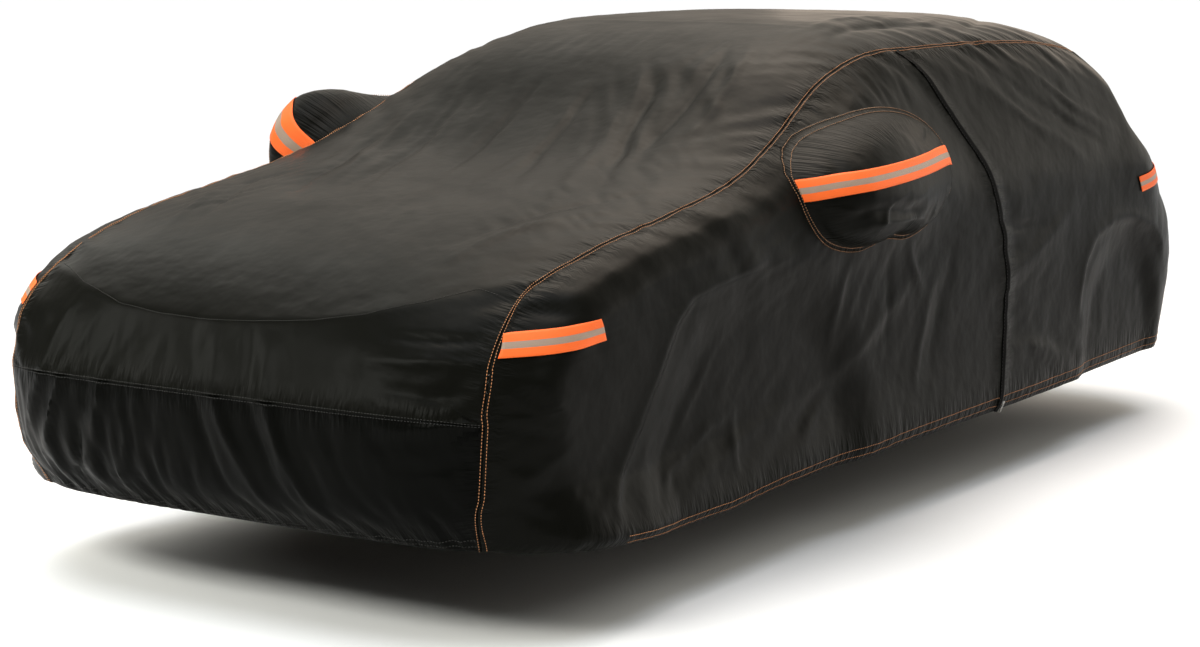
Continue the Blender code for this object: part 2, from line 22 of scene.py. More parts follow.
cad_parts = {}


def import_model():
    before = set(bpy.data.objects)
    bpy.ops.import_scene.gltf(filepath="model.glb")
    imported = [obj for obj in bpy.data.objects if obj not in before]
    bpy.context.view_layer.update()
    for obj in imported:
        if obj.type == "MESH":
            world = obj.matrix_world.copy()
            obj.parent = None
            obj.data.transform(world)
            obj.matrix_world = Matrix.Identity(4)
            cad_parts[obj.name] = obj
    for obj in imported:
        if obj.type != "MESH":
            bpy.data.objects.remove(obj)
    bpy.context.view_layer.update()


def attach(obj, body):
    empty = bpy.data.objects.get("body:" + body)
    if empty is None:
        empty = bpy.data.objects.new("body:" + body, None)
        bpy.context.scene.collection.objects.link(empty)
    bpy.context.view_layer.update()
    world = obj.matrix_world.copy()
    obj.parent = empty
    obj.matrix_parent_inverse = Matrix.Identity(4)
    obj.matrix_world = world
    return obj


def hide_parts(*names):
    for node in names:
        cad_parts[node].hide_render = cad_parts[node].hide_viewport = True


LOG = logging.getLogger("car_cover")
REST = np.array([0.0, 1.75, 1.480])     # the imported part's origin, in table values
GROUND = -1.480                         # height of the floor in the part's frame

Array = np.ndarray


class Side(Enum):
    """The two sides of the cover, with the sign of X on each."""

    LEFT = 1
    RIGHT = -1

    @property
    def word(self) -> str:
        """The side's name in piece names."""
        return self.name.lower()


# ---------------------------------------------------------------- tables of the form
class Station(NamedTuple):
    """A point of the centreline, how the cloth turns down there, and how deep the long seam lies."""

    name: str
    y: float
    z: float
    round: float
    power: float
    seam: float


class Width(NamedTuple):
    """Half width of the cover at the waist."""

    y: float
    half: float


class Hem(NamedTuple):
    """Height of the hem."""

    y: float
    z: float


class Form(NamedTuple):
    """A soft swelling or hollow of a side."""

    name: str
    y: float
    z: float
    length: float
    height: float
    depth: float
    edge: float


class Fold(NamedTuple):
    """A fold from (u0, v0) to (u1, v1): a ridge with a height above 0, or a trough. bend bows it sideways."""

    name: str
    u0: float
    v0: float
    u1: float
    v1: float
    width: float
    height: float
    bend: float = 0.0


class Edge(NamedTuple):
    """A crisp edge in the cloth, raised on the left of its line. It falls off over near there and over far beyond it.

    drop is how deep the hollow beyond the edge is, as a share of the height.
    """

    name: str
    height: float
    near: float
    far: float
    drop: float
    points: tuple[tuple[float, float], ...]


class Crumple(NamedTuple):
    """A field of fine folds about (u, v): half sizes, the folds' direction in degrees, their spacing and depth."""

    name: str
    u: float
    v: float
    length: float
    height: float
    angle: float
    spacing: float
    depth: float


class Pucker(NamedTuple):
    """Short folds beside a seam: how far apart, how far they run, their height, and their lean along the seam."""

    spacing: float
    reach: float
    height: float
    lean: float
    seed: int


OUTLINE = (
    Station("front hem", -0.975, 0.250, 0.34, 4.2, 0.090),
    Station("chin", -1.075, 0.360, 0.36, 4.4, 0.115),
    Station("skirt seam", -1.100, 0.600, 0.36, 4.4, 0.125),
    Station("grille", -1.065, 0.690, 0.33, 4.4, 0.110),
    Station("bonnet lip", -1.005, 0.785, 0.27, 4.6, 0.085),
    Station("bonnet nose", -0.810, 0.905, 0.17, 5.0, 0.042),
    Station("bonnet front", -0.500, 1.000, 0.15, 5.2, 0.040),
    Station("bonnet mid", -0.150, 1.062, 0.15, 5.4, 0.044),
    Station("bonnet rear", 0.200, 1.130, 0.15, 5.6, 0.048),
    Station("screen foot", 0.450, 1.222, 0.17, 6.0, 0.056),
    Station("screen mid", 0.800, 1.385, 0.19, 6.0, 0.074),
    Station("screen head", 1.150, 1.468, 0.19, 5.6, 0.084),
    Station("roof front", 1.500, 1.482, 0.20, 5.0, 0.092),
    Station("roof mid", 2.000, 1.478, 0.20, 4.6, 0.092),
    Station("roof rear", 2.480, 1.448, 0.20, 4.2, 0.090),
    Station("spoiler", 2.820, 1.375, 0.24, 3.4, 0.090),
    Station("tail glass", 3.020, 1.190, 0.34, 3.0, 0.110),
    Station("tail shoulder", 3.230, 0.980, 0.40, 4.0, 0.110),
    Station("tail", 3.370, 0.760, 0.40, 5.0, 0.110),
    Station("tail bumper", 3.410, 0.500, 0.40, 5.0, 0.110),
    Station("rear hem", 3.330, 0.250, 0.40, 5.0, 0.110),
)
WAIST = (Width(-1.05, 0.925), Width(0.0, 0.925), Width(1.0, 0.905), Width(2.0, 0.900), Width(3.3, 0.885))
HEM = (
    Hem(-0.98, 0.250), Hem(-0.80, 0.245), Hem(-0.57, 0.222), Hem(-0.30, 0.202), Hem(0.00, 0.200),
    Hem(0.30, 0.215), Hem(1.00, 0.225), Hem(1.70, 0.228), Hem(2.40, 0.235), Hem(3.00, 0.245), Hem(3.40, 0.260),
)
SIDE_FORMS = (
    Form("front arch", 0.17, 0.34, 0.66, 0.53, -0.030, 0.34),
    Form("rear arch", 2.68, 0.28, 0.38, 0.49, -0.026, 0.34),
    Form("mirror lift", 0.84, 1.07, 0.68, 0.34, 0.055, 0.95),
    Form("wing corner", -0.66, 0.72, 0.42, 0.30, 0.012, 0.80),
    Form("tail corner", 2.90, 0.93, 0.40, 0.16, 0.014, 0.90),
)

# Folds of the top. u is x and v is the length of cloth along the centreline from the front hem.
TOP_FOLDS = (
    Fold("long windscreen trough", -0.16, 2.36, -0.02, 1.58, 0.022, -0.012, 0.02),
    Fold("windscreen ridge", 0.00, 2.34, 0.18, 1.46, 0.036, 0.010, -0.02),
    Fold("second windscreen trough", 0.06, 2.30, 0.26, 1.52, 0.018, -0.010, 0.02),
    Fold("roof corner trough", 0.36, 2.62, 0.44, 1.88, 0.022, -0.012, -0.03),
    Fold("roof corner ridge", 0.44, 2.60, 0.54, 2.00, 0.026, 0.010, -0.02),
    Fold("windscreen to seam", 0.17, 2.46, 0.52, 1.36, 0.032, 0.010, 0.03),
    Fold("trough to seam", 0.25, 2.40, 0.58, 1.50, 0.018, -0.010, 0.03),
    Fold("right cowl trough", -0.38, 2.28, -0.16, 1.40, 0.020, -0.011, 0.02),
    Fold("right cowl ridge", -0.48, 2.12, -0.30, 1.44, 0.028, 0.010, 0.02),
    Fold("second cowl trough", -0.52, 2.02, -0.34, 1.30, 0.018, -0.010, 0.01),
    Fold("third cowl trough", -0.23, 1.42, -0.31, 1.75, 0.014, -0.007, 0.01),
    Fold("right bonnet trough", -0.62, 1.52, -0.44, 1.02, 0.020, -0.008),
    Fold("right bonnet ridge", -0.66, 1.44, -0.52, 1.00, 0.020, 0.007),
    Fold("left bonnet ridge", 0.66, 1.42, 0.50, 0.90, 0.028, 0.008, 0.03),
    Fold("left bonnet trough", 0.68, 1.62, 0.44, 1.00, 0.020, -0.008, 0.03),
    Fold("roof slack", 0.58, 2.82, 0.56, 3.66, 0.026, -0.011, -0.05),
    Fold("roof slack ridge", 0.50, 2.86, 0.48, 3.60, 0.034, 0.008, -0.06),
    Fold("roof rear slack", 0.62, 3.60, 0.30, 4.40, 0.030, -0.008, 0.04),
    Fold("roof front seam", -0.60, 2.86, 0.60, 2.90, 0.014, 0.003),
    Fold("rear drape left", 0.34, 4.80, 0.46, 5.80, 0.040, 0.011),
    Fold("rear drape middle", 0.02, 5.00, 0.08, 5.80, 0.036, -0.009),
    Fold("rear drape right", -0.30, 4.90, -0.44, 5.86, 0.040, 0.011),
    Fold("grille fold middle", 0.00, 0.58, 0.22, 0.06, 0.018, 0.012, 0.03),
    Fold("grille fold left", 0.17, 0.57, 0.40, 0.04, 0.022, 0.014, 0.03),
    Fold("grille trough left", 0.11, 0.58, 0.32, 0.04, 0.018, -0.010, 0.03),
    Fold("grille trough middle", -0.06, 0.52, 0.12, 0.02, 0.018, -0.010, 0.02),
    Fold("grille fold right", -0.34, 0.55, -0.43, 0.10, 0.012, 0.012, -0.02),
    Fold("grille outer right", -0.50, 0.53, -0.62, 0.12, 0.016, 0.012, -0.02),
    Fold("grille inner right", -0.40, 0.50, -0.54, 0.02, 0.016, -0.010, -0.02),
    Fold("far corner fold", -0.56, 0.52, -0.70, 0.16, 0.014, 0.010, -0.01),
    Fold("far face fold", -0.54, 0.66, -0.74, 0.14, 0.016, 0.007, -0.02),
    Fold("second face fold", -0.42, 0.62, -0.66, 0.10, 0.014, 0.007, -0.02),
    Fold("third face fold", -0.28, 0.59, -0.50, 0.06, 0.014, 0.007, -0.02),
    Fold("fourth face fold", -0.17, 0.58, -0.36, 0.05, 0.014, 0.006, -0.02),
    Fold("seam dent", 0.50, 0.60, 0.84, 0.72, 0.018, -0.012, 0.02),
    Fold("seam ridge", 0.46, 0.54, 0.84, 0.62, 0.014, 0.009, 0.02),
    Fold("second seam dent", 0.54, 0.47, 0.84, 0.52, 0.016, -0.009, 0.02),
    Fold("second seam ridge", 0.54, 0.36, 0.84, 0.43, 0.016, 0.008, 0.02),
    Fold("third seam dent", 0.58, 0.26, 0.84, 0.32, 0.016, -0.008, 0.02),
)
TOP_EDGES = (
    Edge("bonnet lip", 0.0095, 0.060, 0.030, 0.25, (
        (-0.86, 0.88), (-0.76, 0.78), (-0.58, 0.68), (-0.38, 0.61), (-0.22, 0.592), (-0.04, 0.588), (0.12, 0.600),
        (0.29, 0.620), (0.44, 0.660), (0.59, 0.740), (0.70, 0.830))),
)
TOP_CRUMPLES = (
    Crumple("windscreen right", -0.34, 2.02, 0.38, 0.60, 105, 0.060, 0.015),
    Crumple("windscreen left", 0.34, 2.16, 0.38, 0.60, 112, 0.065, 0.016),
    Crumple("windscreen top", 0.10, 2.58, 0.60, 0.30, 96, 0.060, 0.008),
    Crumple("bonnet middle", 0.05, 1.40, 0.60, 0.46, 116, 0.050, 0.007),
    Crumple("bonnet left fan", 0.56, 1.50, 0.26, 0.60, 138, 0.045, 0.013),
    Crumple("bonnet right fan", -0.58, 1.40, 0.24, 0.55, 60, 0.045, 0.010),
    Crumple("bonnet nose", 0.10, 0.95, 0.70, 0.24, 130, 0.045, 0.004),
    Crumple("roof left edge", 0.50, 3.30, 0.18, 0.80, 98, 0.055, 0.008),
    Crumple("roof right edge", -0.50, 3.30, 0.18, 0.80, 84, 0.055, 0.008),
    Crumple("roof rear", 0.10, 4.20, 0.60, 0.40, 100, 0.080, 0.006),
    Crumple("tail", 0.00, 5.00, 0.66, 0.60, 92, 0.075, 0.011),
    Crumple("tail skirt", 0.00, 5.66, 0.80, 0.34, 90, 0.045, 0.014),
    Crumple("grille", 0.05, 0.46, 0.60, 0.20, 106, 0.060, 0.009),
    Crumple("skirt left", 0.50, 0.20, 0.44, 0.28, 112, 0.045, 0.014),
    Crumple("skirt right", -0.36, 0.20, 0.50, 0.28, 84, 0.040, 0.019),
)

# Folds of the sides. u is y and v is z.
BOTH_FOLDS = (
    Fold("behind the arch edge", -0.12, 0.78, -0.50, 0.27, 0.034, 0.004, 0.02),
    Fold("second behind the edge", 0.00, 0.70, -0.36, 0.26, 0.020, 0.004, 0.02),
    Fold("small triangle", 0.07, 0.48, -0.34, 0.33, 0.016, 0.008, 0.01),
    Fold("triangle side", 0.06, 0.49, 0.04, 0.28, 0.014, 0.006),
    Fold("rear arch streak", 2.58, 0.66, 2.54, 0.34, 0.034, 0.003),
    Fold("nose drape", -0.80, 0.62, -0.72, 0.27, 0.040, 0.003, 0.01),
)
LEFT_FOLDS = BOTH_FOLDS + (
    Fold("long drape", 0.82, 0.52, -0.40, 0.25, 0.050, 0.010, 0.03),
    Fold("second drape", 1.22, 0.80, 0.30, 0.26, 0.040, 0.007, 0.03),
    Fold("trough between", 1.04, 0.62, 0.06, 0.22, 0.034, -0.006, 0.03),
    Fold("under the pocket", 0.66, 0.84, 0.58, 0.56, 0.024, 0.006, 0.02),
    Fold("pocket foot crease", 1.02, 0.86, 1.16, 0.66, 0.018, 0.008, 0.02),
    Fold("pocket foot trough", 0.90, 0.84, 0.93, 0.50, 0.026, -0.006, 0.01),
    Fold("door trough", 1.36, 0.86, 1.16, 0.40, 0.040, -0.005),
    Fold("door crease", 1.24, 0.74, 1.06, 0.34, 0.022, 0.005, 0.01),
    Fold("rear quarter stretch", 1.62, 1.33, 2.34, 1.00, 0.030, 0.010, 0.02),
    Fold("rear quarter trough", 1.82, 1.34, 2.52, 1.02, 0.022, -0.009, 0.02),
    Fold("rear quarter second", 2.05, 1.33, 2.66, 1.06, 0.022, 0.008, 0.02),
    Fold("zip to arch", 1.56, 0.62, 2.26, 0.86, 0.046, 0.009, 0.03),
    Fold("zip to hem", 1.66, 0.42, 2.24, 0.30, 0.030, 0.008, -0.03),
    Fold("zip pull", 1.58, 0.86, 2.06, 0.80, 0.026, -0.006, 0.02),
    Fold("strip crease", -0.88, 0.88, -0.62, 0.84, 0.018, -0.006, 0.02),
    Fold("corner pucker", -1.00, 0.72, -0.82, 0.60, 0.018, 0.008, 0.01),
    Fold("second corner pucker", -1.00, 0.62, -0.80, 0.54, 0.018, -0.008, 0.01),
    Fold("third corner pucker", -0.99, 0.50, -0.82, 0.42, 0.018, 0.008, 0.01),
    Fold("fourth corner pucker", -0.98, 0.42, -0.80, 0.32, 0.018, -0.007, 0.01),
)
RIGHT_FOLDS = BOTH_FOLDS + (
    Fold("long drape", 1.10, 0.62, -0.12, 0.25, 0.050, 0.010, 0.03),
    Fold("second drape", 1.50, 0.80, 0.50, 0.28, 0.040, 0.008, 0.02),
    Fold("trough between", 1.30, 0.66, 0.30, 0.24, 0.036, -0.007, 0.03),
    Fold("under the pocket", 0.80, 0.84, 0.66, 0.44, 0.028, 0.007, 0.02),
    Fold("door trough", 1.74, 0.92, 1.30, 0.30, 0.044, -0.007),
    Fold("rear quarter stretch", 1.70, 1.32, 2.40, 1.02, 0.030, 0.010, 0.02),
    Fold("rear quarter trough", 1.95, 1.33, 2.60, 1.04, 0.022, -0.009, 0.02),
)
SIDE_EDGES = (
    Edge("wing shoulder", 0.0085, 0.050, 0.026, 0.35, (
        (-0.80, 0.872), (-0.671, 0.878), (-0.535, 0.913), (-0.334, 0.948), (-0.133, 0.980), (0.16, 1.015))),
    Edge("front arch", 0.0110, 0.070, 0.020, 0.95, (
        (-0.62, 0.240), (-0.600, 0.340), (-0.525, 0.430), (-0.455, 0.520), (-0.401, 0.605), (-0.345, 0.690),
        (-0.290, 0.765), (-0.211, 0.822), (-0.104, 0.843), (0.069, 0.866), (0.200, 0.872))),
    Edge("door shoulder", 0.0060, 0.070, 0.050, 0.20, ((0.00, 0.855), (0.20, 0.870), (0.42, 0.860), (0.60, 0.800))),
    Edge("rear arch", 0.0100, 0.050, 0.020, 0.95, (
        (2.29, 0.420), (2.31, 0.539), (2.34, 0.642), (2.42, 0.722), (2.56, 0.758), (2.735, 0.752), (2.90, 0.705),
        (3.00, 0.640), (3.06, 0.540))),
)
SIDE_CRUMPLES = (
    Crumple("above the pocket", 0.90, 1.30, 0.50, 0.16, 80, 0.055, 0.010),
    Crumple("wing", -0.30, 0.90, 0.40, 0.14, 16, 0.060, 0.002),
    Crumple("pocket to arch", 0.22, 0.86, 0.50, 0.18, 28, 0.050, 0.007),
    Crumple("under the pocket", 0.86, 0.66, 0.50, 0.26, 50, 0.080, 0.005),
    Crumple("arch cloth", 0.10, 0.46, 0.55, 0.30, 34, 0.075, 0.006),
    Crumple("behind the edge", -0.34, 0.40, 0.22, 0.30, 56, 0.040, 0.006),
    Crumple("wing hem", -0.74, 0.31, 0.24, 0.13, 52, 0.028, 0.010),
    Crumple("hem by the arch", -0.38, 0.29, 0.30, 0.12, 50, 0.030, 0.008),
    Crumple("door hem", 0.95, 0.32, 0.60, 0.14, 72, 0.050, 0.005),
    Crumple("beside the zip", 1.36, 0.66, 0.22, 0.44, 165, 0.045, 0.007),
    Crumple("rear quarter", 2.20, 1.20, 0.60, 0.20, 152, 0.050, 0.010),
    Crumple("behind the zip", 1.86, 0.70, 0.34, 0.50, 12, 0.050, 0.008),
    Crumple("rear hem", 2.20, 0.34, 0.70, 0.16, 150, 0.045, 0.009),
    Crumple("rear arch cloth", 2.66, 0.50, 0.34, 0.22, 84, 0.070, 0.004),
)


class Knot(NamedTuple):
    """A point of a mirror pocket's outline."""

    name: str
    y: float
    z: float


POCKET = (
    Knot("front", 0.378, 1.060), Knot("front top", 0.441, 1.122), Knot("top front", 0.600, 1.186),
    Knot("top", 0.810, 1.222), Knot("top rear", 1.010, 1.225), Knot("rear top", 1.190, 1.192),
    Knot("rear", 1.300, 1.115), Knot("rear low", 1.290, 0.998), Knot("rear foot", 1.160, 0.912),
    Knot("foot rear", 0.990, 0.870), Knot("foot notch", 0.840, 0.882), Knot("foot", 0.670, 0.862),
    Knot("foot front", 0.500, 0.896), Knot("front low", 0.405, 0.972),
)
POCKET_FOLDS = (
    Fold("front corner crease", 0.42, 1.05, 0.56, 1.17, 0.016, -0.008),
    Fold("rear top dent", 1.02, 1.14, 1.22, 1.17, 0.020, -0.009, 0.01),
    Fold("low sag", 0.46, 0.97, 0.90, 0.95, 0.030, -0.014, -0.02),
    Fold("low ridge", 0.50, 0.93, 0.96, 0.91, 0.018, 0.010, -0.02),
    Fold("foot tuck", 0.66, 1.00, 0.58, 0.88, 0.014, 0.009, 0.01),
    Fold("rear tuck", 1.02, 0.97, 1.00, 0.88, 0.012, 0.009, 0.01),
    Fold("rear low dent", 1.14, 0.99, 1.26, 0.96, 0.020, -0.010),
    Fold("front low pucker", 0.43, 1.00, 0.52, 0.98, 0.010, 0.006),
)
POCKET_CRUMPLES = (
    Crumple("low half", 0.84, 0.94, 0.46, 0.12, 24, 0.070, 0.010),
    Crumple("top half", 0.84, 1.15, 0.44, 0.10, 30, 0.090, 0.006),
)


class Strip(NamedTuple):
    """Middle line of a reflective strip.

    slant0 and slant1 say how far the lower corner lies behind the upper one at each end. bow is how much higher the
    strip lies in its middle.
    """

    name: str
    y0: float
    z0: float
    y1: float
    z1: float
    slant0: float = 0.0
    slant1: float = 0.0
    bow: float = 0.0


FLAT_STRIPS = (Strip("front", -0.9065, 0.7705, -0.6475, 0.7905, -0.043, 0.015),
               Strip("rear", 2.767, 0.865, 3.120, 0.905, 0.034, 0.0))
MIRROR_STRIPS = {
    Side.LEFT: Strip("mirror", 0.386, 1.042, 1.296, 1.070, bow=0.024),
    Side.RIGHT: Strip("mirror", 0.400, 1.052, 1.288, 1.078, bow=0.040),
}

# Steps of the cloth's grid next to a seam, and next to the hem, as distances from the edge.
SEAM_STEPS = np.array([0.0, 0.0022, 0.0050, 0.0085, 0.0135, 0.022])
HEM_STEPS = np.array([0.0, 0.004, 0.010, 0.017, 0.024, 0.032])
SEAM_ROW = 2                    # index in SEAM_STEPS of the stitched line
HEM_ROWS = (2, 4)               # indices in HEM_STEPS of the two stitched lines
FAR = 9.0                       # distance written where a piece has no such seam or hem near it
STITCH_LIFT = 0.0006            # how far stitches lie off the cloth
RIPPLE_FADE = 0.03              # distance over which the seam's ripple fades into the cloth

TOP_SEAM_PUCKERS = (Pucker(0.036, 0.060, 0.0050, 0.55, 210), Pucker(0.080, 0.130, 0.0085, 0.80, 220))
FRONT_SEAM_PUCKERS = Pucker(0.040, 0.050, 0.0018, 0.1, 230)
END_HEM_PUCKERS = Pucker(0.032, 0.160, 0.0130, 0.15, 240)
SIDE_SEAM_PUCKERS = (Pucker(0.040, 0.065, 0.0050, -0.55, 510), Pucker(0.090, 0.140, 0.0085, -0.70, 520))
AROUND_POCKET_PUCKERS = Pucker(0.050, 0.060, 0.0032, 0.3, 530)
SIDE_HEM_PUCKERS = Pucker(0.050, 0.060, 0.0036, -0.5, 540)
ZIP_PUCKERS = Pucker(0.026, 0.045, 0.0030, 0.35, 550)
POCKET_PUCKERS = Pucker(0.045, 0.035, 0.0030, 0.3, 610)


# ---------------------------------------------------------------- numbers that the forms share
def column(rows: Sequence[NamedTuple], *names: str) -> Array:
    """Return the named columns of a table.

    Args:
        rows: the table's rows.
        names: the columns.

    Returns:
        An array with a row for each entry.
    """
    return np.array([[getattr(row, name) for name in names] for row in rows], float)


def smooth(knots: Array, values: Array, where: Array) -> Array:
    """Read a cubic curve.

    Args:
        knots: where the values stand.
        values: one row of values for each knot.
        where: where the curve is read.

    Returns:
        One row of values for each place read.
    """
    slope = np.gradient(values, knots, axis=0)
    span = np.clip(np.searchsorted(knots, where, side="right") - 1, 0, len(knots) - 2)
    length = (knots[span + 1] - knots[span])[:, None]
    u = (where - knots[span])[:, None] / length
    return (
        (2 * u**3 - 3 * u**2 + 1) * values[span]
        + (u**3 - 2 * u**2 + u) * length * slope[span]
        + (3 * u**2 - 2 * u**3) * values[span + 1]
        + (u**3 - u**2) * length * slope[span + 1]
    )


def ease(share: Array) -> Array:
    """Smooth step of a share from 0 to 1."""
    share = np.clip(share, 0, 1)
    return share * share * (3 - 2 * share)


def run_of(points: Array) -> Array:
    """Length along a line of points, from its first point."""
    steps = np.linalg.norm(np.diff(points, axis=0), axis=1)
    return np.concatenate([[0.0], np.cumsum(steps)])


def normals_of(grid: Array, outward: Array) -> Array:
    """Return the unit normals of a grid.

    Args:
        grid: points, (columns, rows, 3).
        outward: a vector, or a grid of vectors, that the normals point along.

    Returns:
        An array like the grid.
    """
    normal = np.cross(np.gradient(grid, axis=0), np.gradient(grid, axis=1))
    normal /= np.maximum(np.linalg.norm(normal, axis=2, keepdims=True), 1e-12)
    sign = np.sign((normal * outward).sum(axis=2).sum())
    return normal * sign


class Noise:
    """Smooth uneven relief in two directions, the same each run."""

    TILE = 128

    def __init__(self, seed: int) -> None:
        """Lay out the slopes.

        Args:
            seed: number that the slopes follow from.
        """
        angle = np.random.default_rng(seed).uniform(0, 2 * np.pi, (self.TILE, self.TILE))
        self.slope = np.stack([np.cos(angle), np.sin(angle)], axis=-1)

    def __call__(self, u: Array, v: Array) -> Array:
        """Read the relief.

        Args:
            u: first coordinate, in cells.
            v: second coordinate, in cells.

        Returns:
            Values from about -0.7 to 0.7.
        """
        u, v = np.broadcast_arrays(np.asarray(u, float), np.asarray(v, float))
        cell_u, cell_v = np.floor(u).astype(int), np.floor(v).astype(int)
        part_u, part_v = u - cell_u, v - cell_v
        ease_u, ease_v = (t**3 * (t * (6 * t - 15) + 10) for t in (part_u, part_v))
        total = np.zeros(u.shape)
        for du in (0, 1):
            for dv in (0, 1):
                slope = self.slope[(cell_u + du) % self.TILE, (cell_v + dv) % self.TILE]
                weight = (ease_u if du else 1 - ease_u) * (ease_v if dv else 1 - ease_v)
                total += weight * (slope[..., 0] * (part_u - du) + slope[..., 1] * (part_v - dv))
        return total


@dataclass(frozen=True)
class Creasing:
    """How folds, crumpled fields and seam puckers are formed in the cloth."""

    skew: float = 0.30          # how much steeper a fold is on one side
    crisp: float = 0.30         # how rounded the crest of a fold is
    wobble: float = 0.014       # how far a fold strays from its line
    wobble_length: float = 0.16
    taper: float = 0.7          # below 1, a fold stays high nearly to its ends
    fall: float = 1.6           # how fast a fold falls off sideways
    crest: float = 0.30         # level of the creases' crests in a crumpled field
    soft: float = 0.05          # how rounded the crests are
    stretch: float = 5.0        # length of fine folds over their spacing
    blur: float = 0.65          # share of a field's radius in which it fades
    swerve: float = 0.6         # how far fine folds bend from their direction, over their spacing
    swerve_length: float = 0.25
    swerve_start: float = 40.0  # keeps the bends apart from the folds' own unevenness
    crest_radius: float = 0.004
    edge_stray: float = 0.4     # how much less than a fold an edge strays
    edge_fade: float = 0.14     # share of an edge's length in which it fades at each end
    hollow_reach: float = 6.0   # how much wider the hollow beyond an edge is than its far side
    pucker_rise: float = 0.016  # distance from the seam in which puckers begin
    pucker_length: float = 2.5  # length of a pucker over its reach
    patches: tuple[float, float] = (0.35, 0.5)      # sizes of the patches with more or fewer puckers
    patch_level: float = 0.6
    seed: int = 11

    def folds(self, u: Array, v: Array, folds: Sequence[Fold]) -> Array:
        """Add up the relief of single folds.

        Args:
            u: first coordinate of each point of the cloth.
            v: second coordinate.
            folds: the table of folds.

        Returns:
            Outward relief at each point.
        """
        stray = self.wobble * Noise(self.seed)(u / self.wobble_length, v / self.wobble_length)
        total = np.zeros(u.shape)
        for fold in folds:
            step_u, step_v = fold.u1 - fold.u0, fold.v1 - fold.v0
            length = math.hypot(step_u, step_v)
            along = ((u - fold.u0) * step_u + (v - fold.v0) * step_v) / length**2
            across = ((u - fold.u0) * step_v - (v - fold.v0) * step_u) / length
            inside = np.clip(along, 0, 1)
            across = across - fold.bend * 4 * inside * (1 - inside) + stray
            width = fold.width * (1 + self.skew * np.tanh(across / fold.width))
            level = np.sqrt((across / width) ** 2 + self.crisp**2) - self.crisp
            total += fold.height * np.sin(np.pi * inside) ** self.taper * np.exp(-self.fall * level)
        return total

    def edges(self, u: Array, v: Array, edges: Sequence[Edge]) -> Array:
        """Add up the relief of crisp edges.

        Args:
            u: first coordinate of each point of the cloth.
            v: second coordinate.
            edges: the table of edges.

        Returns:
            Outward relief at each point.
        """
        stray = self.edge_stray * self.wobble * Noise(self.seed + 1)(u / self.wobble_length, v / self.wobble_length)
        total = np.zeros(u.shape)
        for edge in edges:
            line = np.array(edge.points)
            run = run_of(line)
            best, side, place = np.full(u.shape, FAR), np.ones(u.shape), np.zeros(u.shape)
            for (u0, v0), (u1, v1), start, end in zip(line, line[1:], run, run[1:]):
                step_u, step_v, length = u1 - u0, v1 - v0, end - start
                share = np.clip(((u - u0) * step_u + (v - v0) * step_v) / length**2, 0, 1)
                distance = np.hypot(u - u0 - share * step_u, v - v0 - share * step_v)
                cross = step_u * (v - v0) - step_v * (u - u0)
                closer = distance < best
                best = np.where(closer, distance, best)
                side = np.where(closer, np.sign(cross), side)
                place = np.where(closer, (start + share * length) / run[-1], place)
            signed = best * side + stray
            crest = np.sqrt(signed**2 + self.crest_radius**2) - self.crest_radius
            raised = np.exp(-crest / edge.near)
            wide = np.exp(-crest / (self.hollow_reach * edge.far))
            hollow = (1 + edge.drop) * np.exp(-crest / edge.far) - edge.drop * wide
            fade = ease(place / self.edge_fade) * ease((1 - place) / self.edge_fade)
            total += edge.height * fade * np.where(signed > 0, raised, hollow)
        return total

    def crumples(self, u: Array, v: Array, fields: Sequence[Crumple], seed: int) -> Array:
        """Add up the relief of crumpled fields.

        Args:
            u: first coordinate of each point of the cloth.
            v: second coordinate.
            fields: the table of fields.
            seed: number that the unevenness follows from.

        Returns:
            Outward relief at each point.
        """
        total = np.zeros(u.shape)
        for index, field in enumerate(fields):
            noise = Noise(self.seed + seed + index)
            turn = math.radians(field.angle)
            du, dv = u - field.u, v - field.v
            along = du * math.cos(turn) + dv * math.sin(turn)
            across = dv * math.cos(turn) - du * math.sin(turn)
            bends = noise(along / self.swerve_length + self.swerve_start, across / self.swerve_length)
            across = across + self.swerve * field.spacing * bends
            uneven = noise(across / field.spacing, along / (self.stretch * field.spacing))
            reach = np.hypot(du / field.length, dv / field.height)
            fade = ease((1 - reach) / self.blur)
            total += field.depth * fade * (self.crest - np.sqrt(uneven**2 + self.soft**2))
        return total

    def puckers(self, along: Array, distance: Array, pucker: Pucker, shift: int = 0) -> Array:
        """Relief of the short puckers beside a seam.

        Args:
            along: length along the seam of the nearest point on it.
            distance: distance from the seam.
            pucker: their sizes.
            shift: added to their seed.

        Returns:
            Outward relief at each point.
        """
        seed = self.seed + pucker.seed + shift
        place = (along + pucker.lean * distance) / pucker.spacing
        uneven = Noise(seed)(place, distance / (self.pucker_length * pucker.reach))
        patchy = self.patch_level + Noise(seed + 1)(along / self.patches[0], distance / self.patches[1])
        rise = ease(distance / self.pucker_rise)
        return 2 * pucker.height * uneven * patchy * rise * np.exp(-distance / pucker.reach)


CREASING = Creasing()


# ---------------------------------------------------------------- the form under the cloth
@dataclass(frozen=True)
class Reading:
    """The centreline at some lengths along it."""

    y: Array
    z: Array
    round: Array
    power: Array
    seam: Array
    inward_y: Array
    inward_z: Array


